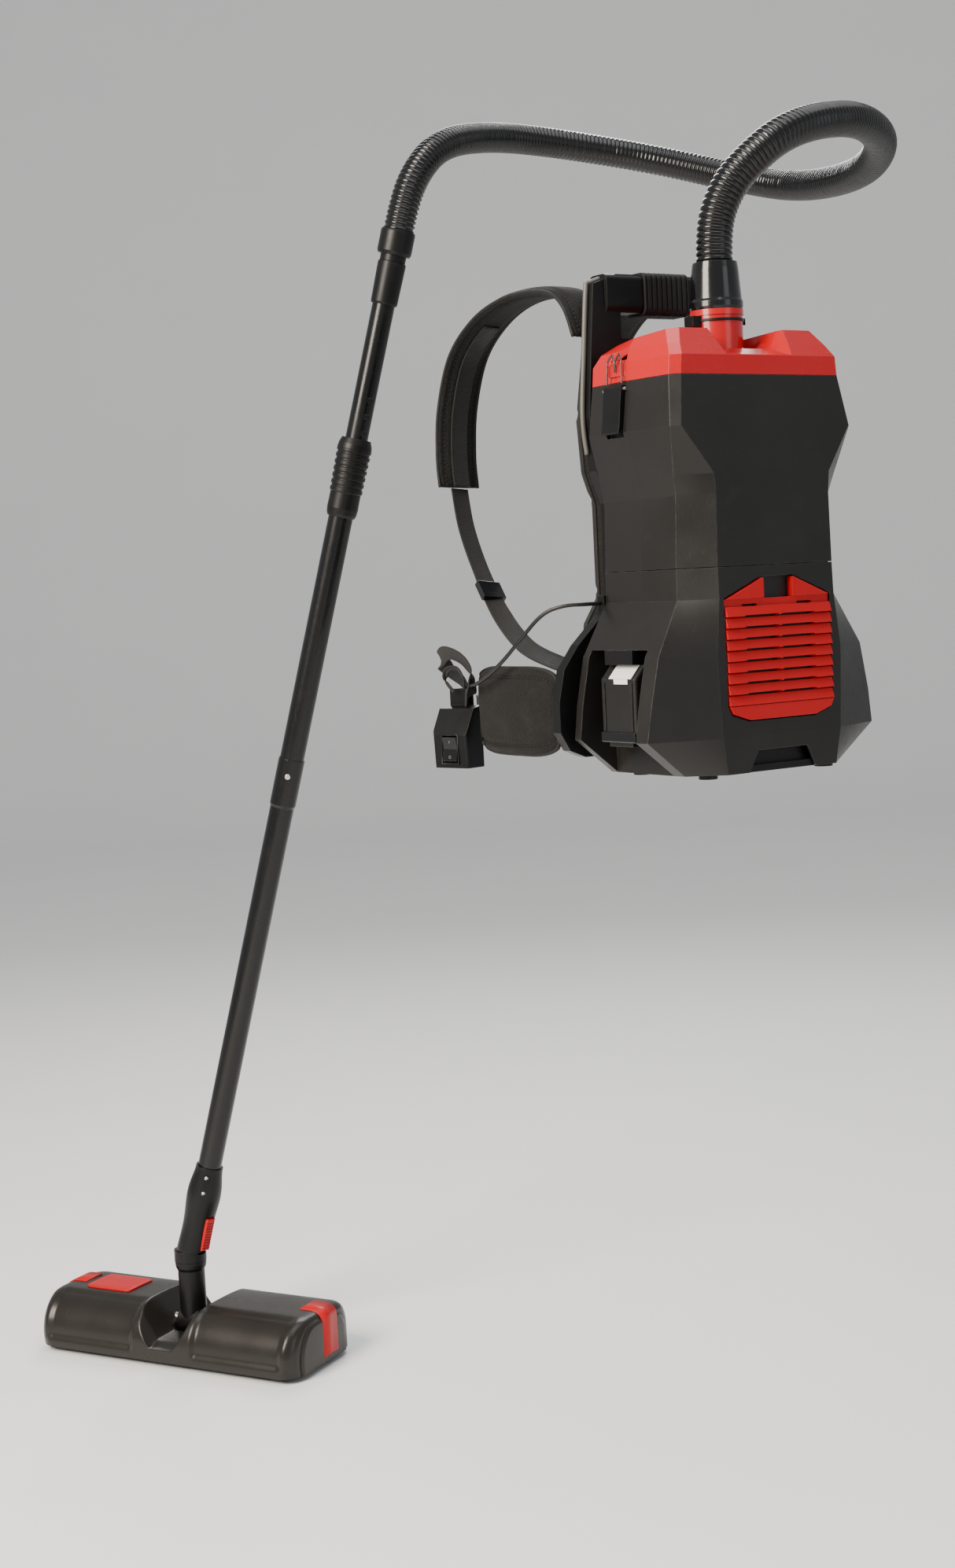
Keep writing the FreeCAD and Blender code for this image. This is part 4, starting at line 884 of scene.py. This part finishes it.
def switch_details():
    """Generic on and off marks on the rocker, and the frame around it."""
    bar = [on_switch(45.9, y, z) for y, z in ((-0.4, -20.5), (0.4, -20.5), (0.4, -17.5), (-0.4, -17.5))]
    slab("rocker_on_mark", bar, 0.0004, "grey_plastic", "switch_rocker", 0)
    circle = [on_switch(46.2, 1.7 * math.cos(a), -38 + 1.7 * math.sin(a)) for a in
              [2 * math.pi * k / 24 for k in range(24)]]
    tube("rocker_off_mark", circle, 0.0003, "grey_plastic", "switch_rocker", sides=6, closed=True)
    frame_line = [on_switch(45.4, y, z) for y, z in ((-14, -46.5), (14, -46.5), (14, -10), (-14, -10))]
    tube("switch_frame", frame_line, 0.0012, "black_plastic", "pack", sides=8, closed=True)


switch_details()


def belt_tail():
    """Spare belt webbing, turned back above the control box in a standing loop."""
    across = Vector((-0.45, -0.40, 0.80))
    outer = vec([(-152, 178, -146), (-160, 186, -128), (-176, 192, -112), (-190, 184, -98), (-196, 160, -90),
                 (-190, 138, -98), (-184, 128, -114), (-183, 128, -130), (-182, 132, -144)])
    strap("belt_tail_loop", smooth_line(outer, 12), across, flat_section(0.020, 0.0022), "webbing", "pack")
    inner = vec([(-183, 170, -140), (-190, 176, -126), (-194, 166, -112), (-190, 150, -110),
                 (-186, 142, -122), (-184, 142, -136)])
    strap("belt_keeper_loop", smooth_line(inner, 12), across, flat_section(0.008, 0.0016), "webbing", "pack")


belt_tail()


def frame_edge_highlight():
    """Painted highlight: pale tubes down both sides of the harness frame, standing in for the light lines
    along its edges.
    """
    edge = vec([(-72, -45, 350.6), (-103, -45, 340.6), (-107.5, -45, 334), (-114.2, -45, 262),
                (-120.2, -45, 184), (-116, -45, 140)])
    for side, line in (("left", edge), ("right", mirrored(edge))):
        tube("frame_edge_highlight_" + side, smooth_line(line, 8), 0.0032, "edge_trim", "pack")


frame_edge_highlight()

HOUSING_S = 1386    # the neck housing's upper end, along the wand from its top


def neck_dots():
    """Two small bright rivets on the neck's socket."""
    spots = [(HOUSING_S + 12, 24.3), (HOUSING_S + 36, 24.6)]
    turn = Vector((0, 0, 1)).rotation_difference(WAND_DIR)
    out = turn @ Vector((-0.545, -0.838, 0))
    for k, (s, r) in enumerate(spots):
        spot = (WAND_TOP - WAND_DIR * s + out * (r - 3)) * MM
        rivet = [spot, spot + out * 0.0034, spot + out * 0.0038]
        tube(f"neck_rivet_{k}", rivet, 0.0028, "zinc_steel", "wand_lower", 16)


neck_dots()


# ---------------------------------------------------------------- camera, floor, light
def stage():
    """Pale floor that curves up into a backdrop behind the machine."""
    forward = Vector((0.5467, 0.8373, 0))
    side = Vector((0.8373, -0.5467, 0))
    centre = Vector((-0.1, 0.3, FLOOR_Z))
    reach = 7.0
    bend = 2.5
    half_width = 12.0
    profile = [(-11.0, 0.0), (reach, 0.0)]
    for k in range(1, 17):
        a = math.pi / 2 * k / 16
        profile.append((reach + bend * math.sin(a), bend * (1 - math.cos(a))))
    profile.append((reach + bend, 9.0))
    verts = []
    for w in (-half_width, half_width):
        verts += [centre + forward * d + side * w + Vector((0, 0, h)) for d, h in profile]
    count = len(profile)
    faces = [(i, i + 1, count + i + 1, count + i) for i in range(count - 1)]
    mesh = bpy.data.meshes.new("studio_floor")
    mesh.from_pydata([tuple(v) for v in verts], [], faces)
    for face in mesh.polygons:
        face.use_smooth = True
    floor = bpy.data.objects.new("studio_floor", mesh)
    bpy.context.collection.objects.link(floor)
    n = Nodes("floor", (0.86, 0.86, 0.855), 0.55)
    n.tint(n.remap(n.noise(2.5, 4), 0.4, 0.7, 0, 0.3), (0.82, 0.82, 0.825))
    n.roughness(n.remap(n.noise(8, 4), 0.3, 0.7, 0.5, 0.62))
    n.bump(n.noise(300, 2), 0.1, 0.0002)
    mesh.materials.append(n.mat)


def area_light(name, position, target, size, power, color=(1, 1, 1)):
    data = bpy.data.lights.new(name, "AREA")
    data.shape = "RECTANGLE"
    data.size, data.size_y = size
    data.energy = power
    data.color = color
    lamp = bpy.data.objects.new(name, data)
    lamp.location = position
    lamp.rotation_euler = (Vector(target) - Vector(position)).to_track_quat("-Z", "Y").to_euler()
    bpy.context.collection.objects.link(lamp)


stage()
area_light("key", (-3.0, -0.3, 1.5), (-0.1, 0.1, -0.2), (1.5, 2.0), 270, (1, 0.90, 0.78))
area_light("overhead", (0.2, -0.4, 2.9), (0, 0.2, 0), (2.4, 2.4), 62)
area_light("fill", (0.6, -3.2, 0.4), (0, 0, -0.2), (1.2, 2.4), 14, (0.93, 0.97, 1))
area_light("rim", (1.6, 2.4, 1.8), (0, 0, 0.2), (1.4, 1.4), 60)

world = bpy.data.worlds.new("studio")
bpy.context.scene.world = world
world.use_nodes = True
world.node_tree.nodes["Background"].inputs["Color"].default_value = (0.9, 0.92, 0.95, 1)
world.node_tree.nodes["Background"].inputs["Strength"].default_value = 0.55

CAMERA_SPOT = (-1.6776, -2.1639, -0.0019)
CAMERA_RIGHT = Vector((0.8339, -0.5498, -0.0496))
CAMERA_UP = Vector((0.0920, 0.0498, 0.9945))
camera_data = bpy.data.cameras.new("camera")
camera_data.sensor_width = 36
camera_data.lens = 50.43
camera = bpy.data.objects.new("camera", camera_data)
right = CAMERA_RIGHT.normalized()
up = CAMERA_UP.normalized()
back = right.cross(up).normalized()
up = back.cross(right)
axes = Matrix((right, up, back)).transposed().to_4x4()
camera.matrix_world = Matrix.Translation(CAMERA_SPOT) @ axes
bpy.context.collection.objects.link(camera)
bpy.context.scene.camera = camera
